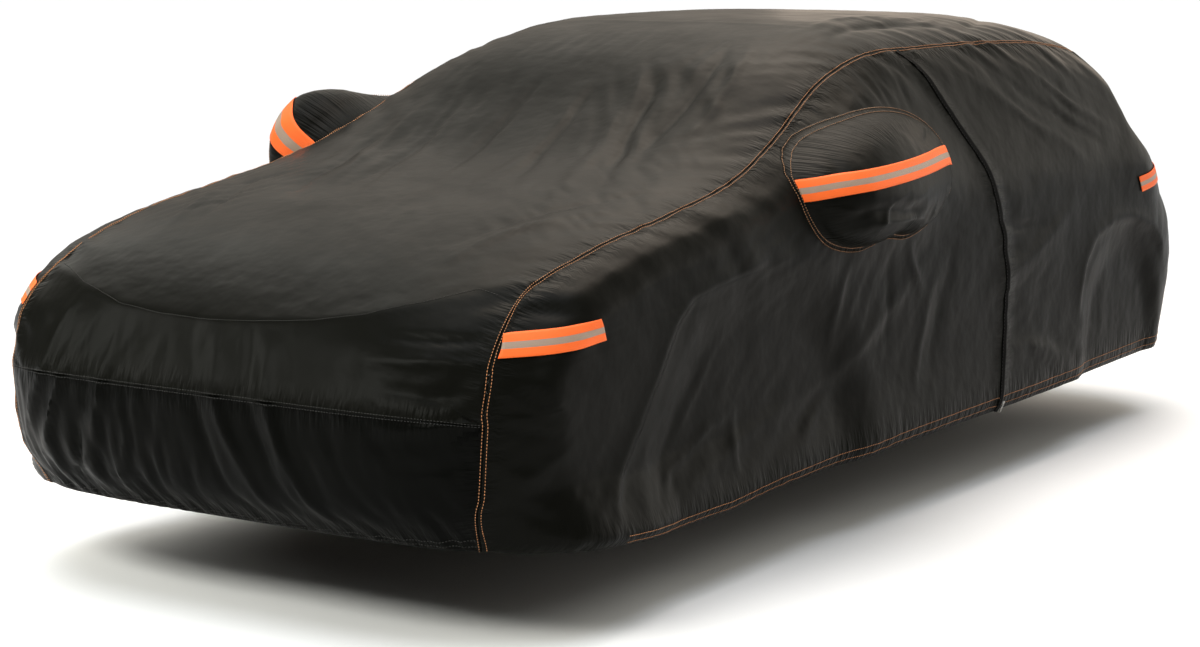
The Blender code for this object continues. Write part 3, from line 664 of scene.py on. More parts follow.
@dataclass
class CoverForm:
    """The smooth shape in which the cover hangs, before its folds."""

    waist_height: float = 1.00
    lean: float = 0.47          # how far the cloth leans in above the waist, per metre of height
    lean_bend: float = 0.045    # height over which that lean begins
    tuck: float = 0.03          # how much narrower the cover is at the hem
    tuck_reach: float = 0.8     # share of the waist's height at which all of that is reached
    hem_reach: float = 0.35     # length of the outline that is fitted to the hem's height
    seam_stray: float = 0.0012  # how far the long seam strays from a smooth line
    stray_length: float = 0.045
    stray_seed: int = 5
    fine: int = 1500            # points at which the centreline is worked out
    coarse: int = 320           # points of it that the sides are measured from

    def __post_init__(self) -> None:
        """Work out the centreline once, finely."""
        stations = column(OUTLINE, "y", "z")
        knots = np.concatenate([[0.0], np.cumsum(np.sqrt(np.linalg.norm(np.diff(stations, axis=0), axis=1)))])
        shape = column(OUTLINE, "y", "z", "round", "power", "seam")
        fine = smooth(knots, shape, np.linspace(0, knots[-1], self.fine))
        point = fine[:, :2]
        along = np.gradient(point, axis=0)
        along /= np.linalg.norm(along, axis=1)[:, None]
        run = run_of(point)
        self.length = run[-1]
        self._table = np.column_stack([run, fine, along[:, 1], -along[:, 0]])
        spread = np.linspace(0, len(run) - 1, self.coarse).astype(int)
        self._coarse = self._table[spread]
        self.run_at = {
            station.name: float(run[np.linalg.norm(point - (station.y, station.z), axis=1).argmin()])
            for station in OUTLINE
        }

    def read(self, run: Array) -> Reading:
        """Read the centreline.

        Args:
            run: lengths of cloth from the front hem.

        Returns:
            The centreline there, each value shaped like run.
        """
        run = np.asarray(run, float)
        return Reading(*(np.interp(run, self._table[:, 0], values) for values in self._table.T[1:]))

    def hem_height(self, y: Array) -> Array:
        """Height of the hem at a length y."""
        return np.interp(y, *column(HEM, "y", "z").T)

    def half_width(self, y: Array, z: Array) -> Array:
        """Half width of the cover before its top turns in."""
        waist = np.interp(y, *column(WAIST, "y", "half").T)
        above = self.lean_bend * np.logaddexp(0, (z - self.waist_height) / self.lean_bend)
        below = np.clip((self.waist_height - z) / self.waist_height, 0, 1)
        return waist - self.lean * above - self.tuck * (below / self.tuck_reach) ** 2

    @staticmethod
    def turn(depth: Array, radius: Array, power: Array) -> Array:
        """Share of the half width that is reached at a depth inside the outline."""
        left = np.clip(1 - depth / radius, 0, 1)
        return (1 - left**2) ** (1 / power)

    @staticmethod
    def turn_depth(share: Array, radius: Array, power: Array) -> Array:
        """Depth inside the outline at which the share is reached."""
        return radius * (1 - np.sqrt(np.clip(1 - share**power, 0, 1)))

    def _inside(self, at: Reading, across: Array) -> tuple[Array, Array, Array]:
        """Share of the half width, y and z at a place across the top, before the hem is fitted."""
        share = np.abs(across) * self.turn(at.seam, at.round, at.power)
        depth = self.turn_depth(share, at.round, at.power)
        return share, at.y + at.inward_y * depth, at.z + at.inward_z * depth

    def top_point(self, run: Array, across: Array) -> Array:
        """Points of the top.

        Args:
            run: length of cloth from the front hem.
            across: from -1 at the right seam to 1 at the left seam.

        Returns:
            Points in table values, with a last axis of 3.
        """
        run, across = np.broadcast_arrays(np.asarray(run, float), np.asarray(across, float))
        share, y, z = self._inside(self.read(run), across)
        for end in (0.0, self.length):
            _, end_y, end_z = self._inside(self.read(np.full(run.shape, end)), across)
            fit = np.clip(1 - np.abs(run - end) / self.hem_reach, 0, 1) ** 2
            z = z + (self.hem_height(end_y) - end_z) * fit
        return np.stack([np.sign(across) * share * self.half_width(y, z), y, z], axis=-1)

    def seam_point(self, run: Array) -> Array:
        """Points of the long left seam at lengths of cloth from the front hem."""
        return self.top_point(run, np.ones(np.shape(run)))

    def side_x(self, y: Array, z: Array) -> Array:
        """Half width of the plain side surface.

        Args:
            y: lengths in table values.
            z: heights in table values.

        Returns:
            The half widths, shaped like y.
        """
        start = self._coarse[:-1, 1:3]
        step = np.diff(self._coarse[:, 1:3], axis=0)
        found = np.empty(y.shape)
        for index in range(len(y)):
            offset = np.stack([y[index], z[index]], axis=1)[:, None] - start
            share = np.clip((offset * step).sum(2) / (step * step).sum(1), 0, 1)
            distance = np.linalg.norm(offset - share[..., None] * step, axis=2)
            nearest = distance.argmin(axis=1)
            depth = distance[np.arange(len(nearest)), nearest]
            share = share[np.arange(len(nearest)), nearest]
            radius, power = (
                (1 - share) * self._coarse[nearest, k] + share * self._coarse[nearest + 1, k] for k in (3, 4)
            )
            found[index] = self.half_width(y[index], z[index]) * self.turn(depth, radius, power)
        return found

    @staticmethod
    def side_forms(y: Array, z: Array) -> Array:
        """Outward shift of a side from its soft forms."""
        total = np.zeros(y.shape)
        for form in SIDE_FORMS:
            radius = np.hypot((y - form.y) / form.length, (z - form.z) / form.height)
            total += form.depth * ease((1 - radius) / form.edge)
        return total

    def seam_ripple(self, run: Array) -> Array:
        """Small rise and fall of the long seam, shared by the two panels that meet there."""
        return 2 * self.seam_stray * Noise(self.stray_seed)(run / self.stray_length, run * 0 + 0.5)


def edge_spaced(length: float, first: Array, last: Array, step: float) -> Array:
    """Places along a length, close together at its ends.

    Args:
        length: the whole length.
        first: distances of the first places from the start.
        last: distances of the last places from the end.
        step: about how far apart the places between are.

    Returns:
        The places, rising from 0 to length.
    """
    low, high = first[-1], length - last[-1]
    between = np.linspace(low, high, max(2, int(round((high - low) / step))))
    return np.concatenate([first, between[1:-1], length - last[::-1]])


# ---------------------------------------------------------------- meshes
@dataclass
class Cloth:
    """A grid of cloth with what its finish needs to know.

    The maps hold two lengths at each point: place in the cloth, place along and distance from the nearest seam, and
    place along and distance from the hem.
    """

    points: Array
    normals: Array
    maps: dict[str, Array]

    def mirrored(self) -> Cloth:
        """The same cloth on the cover's other side."""
        flip = np.array([-1.0, 1.0, 1.0])
        return Cloth(self.points * flip, self.normals * flip, self.maps)

    def part(self, first: int, last: int) -> Cloth:
        """The columns from first up to, but not including, last."""
        maps = {name: values[first:last] for name, values in self.maps.items()}
        return Cloth(self.points[first:last], self.normals[first:last], maps)


def mesh_object(name: str, points: Array, faces: Array, maps: dict[str, Array], outward: Array) -> bpy.types.Object:
    """Make an object from points, faces and maps.

    Args:
        name: the piece's name.
        points: (n, 3), in the part's frame.
        faces: (m, 4) corner numbers.
        maps: UV maps, each (n, 2).
        outward: vectors at the points that the faces are to point along.

    Returns:
        The linked object, shaded smooth.
    """
    corner = points[faces]
    facing = np.cross(corner[:, 2] - corner[:, 0], corner[:, 3] - corner[:, 1])
    if (facing * outward[faces[:, 0]]).sum() < 0:
        faces = faces[:, ::-1]
    mesh = bpy.data.meshes.new(name)
    mesh.vertices.add(len(points))
    mesh.vertices.foreach_set("co", points.astype(np.float32).ravel())
    mesh.loops.add(faces.size)
    mesh.loops.foreach_set("vertex_index", faces.astype(np.int32).ravel())
    mesh.polygons.add(len(faces))
    mesh.polygons.foreach_set("loop_start", np.arange(0, faces.size, 4, dtype=np.int32))
    mesh.update(calc_edges=True)
    for map_name, values in maps.items():
        layer = mesh.uv_layers.new(name=map_name)
        layer.data.foreach_set("uv", values[faces.ravel()].astype(np.float32).ravel())
    mesh.shade_smooth()
    made = bpy.data.objects.new(name, mesh)
    bpy.context.scene.collection.objects.link(made)
    return made


def grid_faces(columns: int, rows: int, keep: Array | None = None, closed: bool = False) -> Array:
    """Corner numbers of a grid's faces.

    Args:
        columns: points along the first axis.
        rows: points along the second axis.
        keep: which faces are kept, (columns - 1, rows - 1).
        closed: whether the last column joins the first.

    Returns:
        The faces, (n, 4).
    """
    last = columns if closed else columns - 1
    i, j = np.meshgrid(np.arange(last), np.arange(rows - 1), indexing="ij")
    after = (i + 1) % columns
    faces = np.stack([i * rows + j, after * rows + j, after * rows + j + 1, i * rows + j + 1], axis=-1)
    return faces[keep] if keep is not None else faces.reshape(-1, 4)


def cloth_object(name: str, cloth: Cloth, thickness: float, keep: Array | None = None,
                 closed: bool = False) -> bpy.types.Object:
    """Make a closed sheet from a grid of cloth.

    Args:
        name: the piece's name.
        cloth: its grid, in table values.
        thickness: thickness of the sheet, inwards from the grid.
        keep: which faces are kept.
        closed: whether the last column joins the first.

    Returns:
        The object.
    """
    columns, rows = cloth.points.shape[:2]
    points = cloth.points.reshape(-1, 3) - REST
    maps = {key: values.reshape(-1, 2) for key, values in cloth.maps.items()}
    faces = grid_faces(columns, rows, keep, closed)
    made = mesh_object(name, points, faces, maps, cloth.normals.reshape(-1, 3))
    if keep is not None:
        drop_loose(made.data)
    solid = made.modifiers.new("thickness", "SOLIDIFY")
    solid.thickness = thickness
    solid.offset = -1
    return made


def drop_loose(mesh: bpy.types.Mesh) -> None:
    """Remove the points that no face uses."""
    whole = bmesh.new()
    whole.from_mesh(mesh)
    bmesh.ops.delete(whole, geom=[vert for vert in whole.verts if not vert.link_faces], context="VERTS")
    whole.to_mesh(mesh)
    whole.free()


def search_tree(cloth: Cloth) -> BVHTree:
    """Search tree of a grid of cloth, in table values."""
    columns, rows = cloth.points.shape[:2]
    return BVHTree.FromPolygons(cloth.points.reshape(-1, 3).tolist(), grid_faces(columns, rows).tolist())


CAST_FROM = 2.0                 # distance from the middle plane at which rays start
CAST_NEAR = 0.8                 # where the nearest cloth is looked for when a ray misses


def cast(tree: BVHTree, side: int, y: Array, z: Array) -> tuple[Array, Array]:
    """Find the surface at (y, z) on one side.

    Args:
        tree: the surface.
        side: 1 on the left, -1 on the right.
        y: lengths in table values.
        z: heights in table values.

    Returns:
        The points and the outward normals, each shaped like y with a last axis of 3.
    """
    points = np.empty((*y.shape, 3))
    normals = np.empty((*y.shape, 3))
    for index in np.ndindex(y.shape):
        start = Vector((side * CAST_FROM, y[index], z[index]))
        hit, normal = tree.ray_cast(start, Vector((-side, 0, 0)))[:2]
        if hit is None:
            hit, normal = tree.find_nearest(Vector((side * CAST_NEAR, y[index], z[index])))[:2]
        points[index] = hit
        normals[index] = normal if normal.x * side > 0 else -normal
    return points, normals


GROOVE_DEPTH, GROOVE_WIDTH = 0.0018, 0.0024
BAND_HEIGHT, BAND_WIDTH, BAND_EDGE = 0.0010, 0.016, 0.006


def seam_relief(distance: Array) -> Array:
    """Relief of a felled seam: a narrow groove at the join and a low flat band beside it."""
    groove = GROOVE_DEPTH * np.exp(-((distance / GROOVE_WIDTH) ** 2))
    return BAND_HEIGHT * ease((BAND_WIDTH - distance) / BAND_EDGE) - groove


# ---------------------------------------------------------------- finishes
class Shader:
    """A material under construction, with short calls to add and join its nodes."""

    def __init__(self, name: str) -> None:
        """Start a material with one Principled shader."""
        self.material = bpy.data.materials.new(name)
        self.material.use_nodes = True
        self.tree = self.material.node_tree
        self.surface = self.tree.nodes["Principled BSDF"]

    def add(self, kind: str, inputs: dict[Any, Any] | None = None, **settings: Any) -> bpy.types.Node:
        """Add a node.

        Args:
            kind: the node's type without "ShaderNode".
            inputs: socket names or numbers with a value or a socket.
            settings: properties of the node.

        Returns:
            The node.
        """
        node = self.tree.nodes.new(f"ShaderNode{kind}")
        for key, value in settings.items():
            setattr(node, key, value)
        for key, value in (inputs or {}).items():
            self.feed(node.inputs[key], value)
        return node

    def feed(self, socket: bpy.types.NodeSocket, value: Any) -> None:
        """Give a socket a value, or join it to another socket."""
        if isinstance(value, bpy.types.NodeSocket):
            self.tree.links.new(value, socket)
        else:
            socket.default_value = value

    def math(self, operation: str, first: Any, second: Any = 0.0, clamp: bool = False) -> bpy.types.NodeSocket:
        """Add a Math node and return its result."""
        return self.add("Math", {0: first, 1: second}, operation=operation, use_clamp=clamp).outputs[0]

    def blend(self, share: Any, first: Any, second: Any) -> bpy.types.NodeSocket:
        """Add a colour Mix node and return its result."""
        node = self.add("Mix", data_type="RGBA")
        for index, value in ((0, share), (6, first), (7, second)):
            self.feed(node.inputs[index], value)
        return node.outputs[2]

    def map(self, name: str, scale: tuple[float, float, float]) -> bpy.types.NodeSocket:
        """Read a UV map, scaled."""
        uv = self.add("UVMap", uv_map=name)
        return self.add("Mapping", {"Vector": uv.outputs["UV"], "Scale": scale}).outputs["Vector"]

    def near(self, name: str, reach: float) -> bpy.types.NodeSocket:
        """Share that is 1 at a seam or hem and falls to 0 at a reach from it."""
        uv = self.add("UVMap", uv_map=name)
        distance = self.add("SeparateXYZ", {0: uv.outputs["UV"]}).outputs["Y"]
        fall = self.add("MapRange", {"Value": distance, "From Min": 0.0, "From Max": reach, "To Min": 1.0,
                                     "To Max": 0.0}, interpolation_type="SMOOTHSTEP")
        return fall.outputs["Result"]

    def noise(self, vector: Any, grain: Grain) -> bpy.types.NodeSocket:
        """Add a Noise texture and return its value."""
        made = self.add("TexNoise", {"Vector": vector, "Scale": grain.scale, "Detail": grain.detail,
                                     "Roughness": grain.rough})
        return made.outputs["Fac"]

    def shaded(self, share: Any, colour: tuple[float, float, float], shade: float) -> bpy.types.NodeSocket:
        """Blend a colour into a darker or paler shade of it."""
        return self.blend(share, (*colour, 1), (*(shade * value for value in colour), 1))

    def finish(self, colour: Any, roughness: Any, specular: float, normal: Any) -> None:
        """Give the surface its colour, roughness, gloss and relief."""
        for socket, value in (("Base Color", colour), ("Roughness", roughness), ("Specular IOR Level", specular),
                              ("Normal", normal)):
            self.feed(self.surface.inputs[socket], value)

    def bump(self, height: Any, distance: float, strength: float = 1.0, under: Any = None) -> bpy.types.NodeSocket:
        """Add a Bump node on top of another and return its normal."""
        node = self.add("Bump", {"Height": height, "Distance": distance, "Strength": strength})
        if under is not None:
            self.feed(node.inputs["Normal"], under)
        return node.outputs["Normal"]


class Grain(NamedTuple):
    """A noise texture in the object's space, and how far it raises the surface."""

    scale: float
    detail: float
    rough: float = 0.5
    height: float = 0.0
    strength: float = 1.0


class Gathers(NamedTuple):
    """Noise drawn out across a seam or hem, on its own UV map, that fades with the distance from it."""

    map_name: str
    squeeze: float
    grain: Grain
    reach: float


@dataclass(frozen=True)
class ClothFinish:
    """Dark coated polyester: a close weave, fine crumples, and puckers beside the seams."""

    name: str = "cover_cloth"
    colour: tuple[float, float, float] = (0.0032, 0.0033, 0.0025)
    pale: tuple[float, float, float] = (0.0048, 0.0048, 0.0037)
    roughness: float = 0.36
    specular: float = 0.03
    clouds: Grain = Grain(2.2, 4.0, 0.6)
    cloud_share: float = 0.9
    flecks: Grain = Grain(260.0, 2.0, 0.7)
    fleck_share: float = 0.5
    darker: float = 0.25        # share taken off clouds and flecks
    wear: Grain = Grain(5.0, 3.0)
    wear_share: float = 0.16    # how much the roughness differs from place to place
    wear_level: float = 0.08
    crumple: Grain = Grain(11.0, 2.0, 0.45, 0.0048, 0.8)
    ridges: Grain = Grain(30.0, 3.0, 0.6, 0.0006, 0.8)
    gathers: tuple[Gathers, ...] = (
        Gathers("seam", 0.16, Grain(62.0, 2.0, 0.6, 0.0065), 0.085),
        Gathers("hem", 0.22, Grain(48.0, 2.0, 0.55, 0.0075), 0.14),
    )
    weave: float = 0.0011       # width of one thread pair
    weave_height: float = 0.00004
    weave_strength: float = 0.2

    def build(self) -> bpy.types.Material:
        """Make the material."""
        shader = Shader(self.name)
        place = shader.add("TexCoord").outputs["Object"]
        cloudy = shader.math("MULTIPLY", shader.noise(place, self.clouds), self.cloud_share)
        flecked = shader.math("MULTIPLY", shader.noise(place, self.flecks), self.fleck_share)
        share = shader.math("SUBTRACT", shader.math("ADD", cloudy, flecked), self.darker, clamp=True)
        wear = shader.math("MULTIPLY", shader.noise(place, self.wear), self.wear_share)
        shader.finish(
            shader.blend(share, (*self.colour, 1), (*self.pale, 1)),
            shader.math("ADD", wear, self.roughness - self.wear_level), self.specular, self._relief(shader, place))
        return shader.material

    def _relief(self, shader: Shader, place: bpy.types.NodeSocket) -> bpy.types.NodeSocket:
        """Build the fine relief: crumples, seam puckers, hem gathers and the weave."""
        normal = shader.bump(shader.noise(place, self.crumple), self.crumple.height, self.crumple.strength)
        ridges = shader.math("ABSOLUTE", shader.math("SUBTRACT", shader.noise(place, self.ridges), 0.5))
        normal = shader.bump(ridges, self.ridges.height, self.ridges.strength, normal)
        for name, squeeze, grain, reach in self.gathers:
            drawn = shader.noise(shader.map(name, (1.0, squeeze, 1.0)), grain)
            near = shader.math("MULTIPLY", drawn, shader.near(name, reach))
            normal = shader.bump(near, grain.height, grain.strength, normal)
        threads = []
        for direction in ("X", "Y"):
            wave = shader.add("TexWave", {"Vector": shader.map("cloth", (1.0, 1.0, 1.0)),
                                          "Scale": math.pi / (10 * self.weave), "Distortion": 0.0},
                              wave_type="BANDS", bands_direction=direction)
            threads.append(wave.outputs["Fac"])
        weave = shader.math("MULTIPLY", threads[0], threads[1])
        return shader.bump(weave, self.weave_height, self.weave_strength, normal)


@dataclass(frozen=True)
class TapeFinish:
    """Reflective tape: orange cloth edges with a grey beaded middle, which its UV map's second value places."""

    name: str = "reflective_tape"
    orange: tuple[float, float, float] = (0.86, 0.115, 0.014)
    pale_orange: tuple[float, float, float] = (0.95, 0.21, 0.035)
    pale_share: float = 0.45
    grey: tuple[float, float, float] = (0.26, 0.185, 0.135)
    pale_grey: tuple[float, float, float] = (0.34, 0.25, 0.19)
    middle: float = 0.135       # half height of the grey middle as a share of the width
    border: float = 0.012       # how far beyond the middle the cloth edge rises
    border_height: float = 0.0003
    mottle: Grain = Grain(40.0, 3.0)
    roughness: float = 0.62
    shine: float = 0.2          # how much less rough the middle is
    specular: float = 0.25
    bend: Grain = Grain(30.0, 2.0, 0.5, 0.0010, 0.4)
    rib_scale: float = 55.0
    rib_stray: float = 0.4
    rib_height: float = 0.00010
    rib_strength: float = 0.5

    def build(self) -> bpy.types.Material:
        """Make the material."""
        shader = Shader(self.name)
        uv = shader.add("UVMap", uv_map="tape").outputs["UV"]
        height = shader.add("SeparateXYZ", {0: uv}).outputs["Y"]
        off_middle = shader.math("ABSOLUTE", shader.math("SUBTRACT", height, 0.5))
        in_middle = shader.math("LESS_THAN", off_middle, self.middle)
        ribs = shader.add("TexWave", {"Vector": uv, "Scale": self.rib_scale, "Distortion": self.rib_stray},
                          bands_direction="DIAGONAL")
        mottle = shader.noise(uv, self.mottle)
        orange = shader.blend(shader.math("MULTIPLY", mottle, self.pale_share), (*self.orange, 1),
                              (*self.pale_orange, 1))
        grey = shader.blend(mottle, (*self.grey, 1), (*self.pale_grey, 1))
        place = shader.add("TexCoord").outputs["Object"]
        normal = shader.bump(shader.noise(place, self.bend), self.bend.height, self.bend.strength)
        normal = shader.bump(ribs.outputs["Fac"], self.rib_height, self.rib_strength, normal)
        edge = shader.math("GREATER_THAN", off_middle, self.middle + self.border)
        shader.finish(
            shader.blend(in_middle, orange, grey),
            shader.math("SUBTRACT", self.roughness, shader.math("MULTIPLY", in_middle, self.shine)),
            self.specular, shader.bump(edge, self.border_height, 1.0, normal))
        return shader.material


@dataclass(frozen=True)
class ThreadFinish:
    """Sewing thread with a twist."""

    name: str
    colour: tuple[float, float, float]
    shade: float = 0.55         # brightness of its darker places
    uneven: Grain = Grain(90.0, 2.0)
    roughness: float = 0.55
    specular: float = 0.30
    twist: Grain = Grain(900.0, 1.0, 0.5, 0.0004, 0.6)

    def build(self) -> bpy.types.Material:
        """Make the material."""
        shader = Shader(self.name)
        place = shader.add("TexCoord").outputs["Object"]
        normal = shader.bump(shader.noise(place, self.twist), self.twist.height, self.twist.strength)
        shader.finish(shader.shaded(shader.noise(place, self.uneven), self.colour, self.shade), self.roughness,
                      self.specular, normal)
        return shader.material


@dataclass(frozen=True)
class ZipFinish:
    """Black woven zip tape. The same near-black colour also covers the cloth flap over the zip, where it is painted
    shade for the shadow beside the flap.
    """

    name: str = "zip_tape"
    # near-black: the zip tape's own colour, and painted shade where it covers the cloth flap
    colour: tuple[float, float, float] = (0.0012, 0.0012, 0.0011)
    shade: float = 1.8          # brightness of its paler places
    uneven: Grain = Grain(40.0, 3.0, 0.5, 0.0016, 0.5)
    roughness: float = 0.62
    specular: float = 0.05
    squeeze: float = 0.15
    ribs: Grain = Grain(500.0, 1.0, 0.5, 0.0005, 0.6)

    def build(self) -> bpy.types.Material:
        """Make the material."""
        shader = Shader(self.name)
        uneven = shader.noise(shader.add("TexCoord").outputs["Object"], self.uneven)
        ribs = shader.noise(shader.map("cloth", (1.0, self.squeeze, 1.0)), self.ribs)
        normal = shader.bump(ribs, self.ribs.height, self.ribs.strength)
        shader.finish(shader.shaded(uneven, self.colour, self.shade), self.roughness, self.specular,
                      shader.bump(uneven, self.uneven.height, self.uneven.strength, normal))
        return shader.material


@dataclass(frozen=True)
class MetalFinish:
    """Satin metal of the zip pull."""

    name: str = "pull_metal"
    colour: tuple[float, float, float] = (0.46, 0.45, 0.43)
    shade: float = 0.6          # brightness of its scuffs
    scuffs: Grain = Grain(300.0, 4.0, 0.5, 0.0002, 0.4)
    roughness: float = 0.22
    scuff_roughness: float = 0.25

    def build(self) -> bpy.types.Material:
        """Make the material."""
        shader = Shader(self.name)
        scuffs = shader.noise(shader.add("TexCoord").outputs["Object"], self.scuffs)
        surface = shader.surface
        shader.feed(surface.inputs["Base Color"], shader.shaded(scuffs, self.colour, self.shade))
        surface.inputs["Metallic"].default_value = 1.0
        rough = shader.math("ADD", shader.math("MULTIPLY", scuffs, self.scuff_roughness), self.roughness)
        shader.feed(surface.inputs["Roughness"], rough)
        shader.feed(surface.inputs["Normal"], shader.bump(scuffs, self.scuffs.height, self.scuffs.strength))
        return shader.material


def dress(piece: bpy.types.Object, material: bpy.types.Material) -> None:
    """Give a piece its one material."""
    piece.data.materials.clear()
    piece.data.materials.append(material)


# ---------------------------------------------------------------- stitches
class StitchTree:
    """Geometry Nodes that lay a row of stitches along each line of a mesh."""

    NAME = "stitch_row"
    SIZES = {"Spacing": 0.0085, "Length": 0.0062, "Width": 0.0022}
    BALL = {"Segments": 6, "Rings": 4, "Radius": 0.5}

    def __init__(self) -> None:
        """Build the node tree once."""
        self.tree = bpy.data.node_groups.new(self.NAME, "GeometryNodeTree")
        face = self.tree.interface
        face.new_socket("Geometry", in_out="INPUT", socket_type="NodeSocketGeometry")
        self.sockets = {
            name: face.new_socket(name, in_out="INPUT", socket_type="NodeSocketFloat").identifier
            for name in self.SIZES
        }
        self.sockets["Thread"] = face.new_socket(
            "Thread", in_out="INPUT", socket_type="NodeSocketMaterial").identifier
        face.new_socket("Geometry", in_out="OUTPUT", socket_type="NodeSocketGeometry")
        self._wire()

    def _node(self, kind: str, **settings: Any) -> bpy.types.Node:
        """Add one node."""
        node = self.tree.nodes.new(kind)
        for key, value in settings.items():
            setattr(node, key, value)
        return node

    def _wire(self) -> None:
        """Add the nodes and join them."""
        given = self._node("NodeGroupInput")
        line = self._node("GeometryNodeMeshToCurve")
        spaced = self._node("GeometryNodeResampleCurve", mode="LENGTH")
        tangent = self._node("GeometryNodeInputTangent")
        turned = self._node("FunctionNodeAlignRotationToVector", axis="X")
        ball = self._node("GeometryNodeMeshUVSphere")
        for name, value in self.BALL.items():
            ball.inputs[name].default_value = value
        size = self._node("ShaderNodeCombineXYZ")
        shaped = self._node("GeometryNodeTransform")
        laid = self._node("GeometryNodeInstanceOnPoints")
        real = self._node("GeometryNodeRealizeInstances")
        rounded = self._node("GeometryNodeSetShadeSmooth")
        finished = self._node("GeometryNodeSetMaterial")
        result = self._node("NodeGroupOutput")
        for source, output, target, inputs in (
                (given, "Geometry", line, "Mesh"), (line, "Curve", spaced, "Curve"),
                (given, "Spacing", spaced, "Length"), (tangent, "Tangent", turned, "Vector"),
                (given, "Length", size, "X"), (given, "Width", size, "Y"), (given, "Width", size, "Z"),
                (ball, "Mesh", shaped, "Geometry"), (size, "Vector", shaped, "Scale"),
                (spaced, "Curve", laid, "Points"), (shaped, "Geometry", laid, "Instance"),
                (turned, "Rotation", laid, "Rotation"), (laid, "Instances", real, "Geometry"),
                (real, "Geometry", rounded, "Geometry"), (rounded, "Geometry", finished, "Geometry"),
                (given, "Thread", finished, "Material"), (finished, "Geometry", result, "Geometry")):
            self.tree.links.new(source.outputs[output], target.inputs[inputs])

    def sew(self, name: str, rows: Sequence[Array], thread: bpy.types.Material,
            sizes: dict[str, float] | None = None) -> bpy.types.Object:
        """Make a piece of stitches.

        Args:
            name: the piece's name.
            rows: lines of points in table values, each (n, 3).
            thread: the thread's material.
            sizes: values of the tree's inputs that differ from SIZES.

        Returns:
            The object, a plain mesh.
        """
        mesh = bpy.data.meshes.new(f"{name}_lines")
        points, edges = [], []
        for row in rows:
            start = len(points)
            points += (row - REST).tolist()
            edges += [(start + k, start + k + 1) for k in range(len(row) - 1)]
        mesh.from_pydata(points, edges, [])
        lines = bpy.data.objects.new(f"{name}_lines", mesh)
        bpy.context.scene.collection.objects.link(lines)
        modifier = lines.modifiers.new("stitches", "NODES")
        modifier.node_group = self.tree
        for key, value in {**self.SIZES, **(sizes or {})}.items():
            modifier[self.sockets[key]] = value
        modifier[self.sockets["Thread"]] = thread
        bpy.context.view_layer.update()
        ready = lines.evaluated_get(bpy.context.evaluated_depsgraph_get())
        made = bpy.data.objects.new(name, bpy.data.meshes.new_from_object(ready))
        made.data.name = name
        bpy.context.scene.collection.objects.link(made)
        bpy.data.objects.remove(lines, do_unlink=True)
        return made


# ---------------------------------------------------------------- the cover's pieces
@dataclass
class Workshop:
    """What every piece is made with: the form, the finishes and the stitch tree."""

    form: CoverForm
    cloth: bpy.types.Material
    # darker copy of the cloth for the front skirt: partly a darker fabric, partly painted shade
    skirt_cloth: bpy.types.Material
    tape: bpy.types.Material
    orange_thread: bpy.types.Material
    pale_thread: bpy.types.Material
    dark_thread: bpy.types.Material
    # near-black zip finish: the tape's own colour, and painted shade on the cloth flap
    zip_tape: bpy.types.Material
    metal: bpy.types.Material
    stitches: StitchTree

    def finish_piece(self, piece: bpy.types.Object, material: bpy.types.Material, slot: str, node: str) -> None:
        """Dress a piece, hide the model's node that it stands for and let it ride on the cover.

        Args:
            piece: the piece.
            material: its finish.
            slot: not used.
            node: the model's node that the piece stands for.
        """
        dress(piece, material)
        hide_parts(node)
        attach(piece, "root")
        LOG.info("%s: %d points", piece.name, len(piece.data.vertices))

    def sew(self, name: str, rows: Sequence[Array], thread: bpy.types.Material,
            sizes: dict[str, float] | None = None) -> None:
        """Lay rows of stitches as one piece."""
        piece = self.stitches.sew(name, rows, thread, sizes)
        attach(piece, "root")
        LOG.info("%s: %d points", name, len(piece.data.vertices))


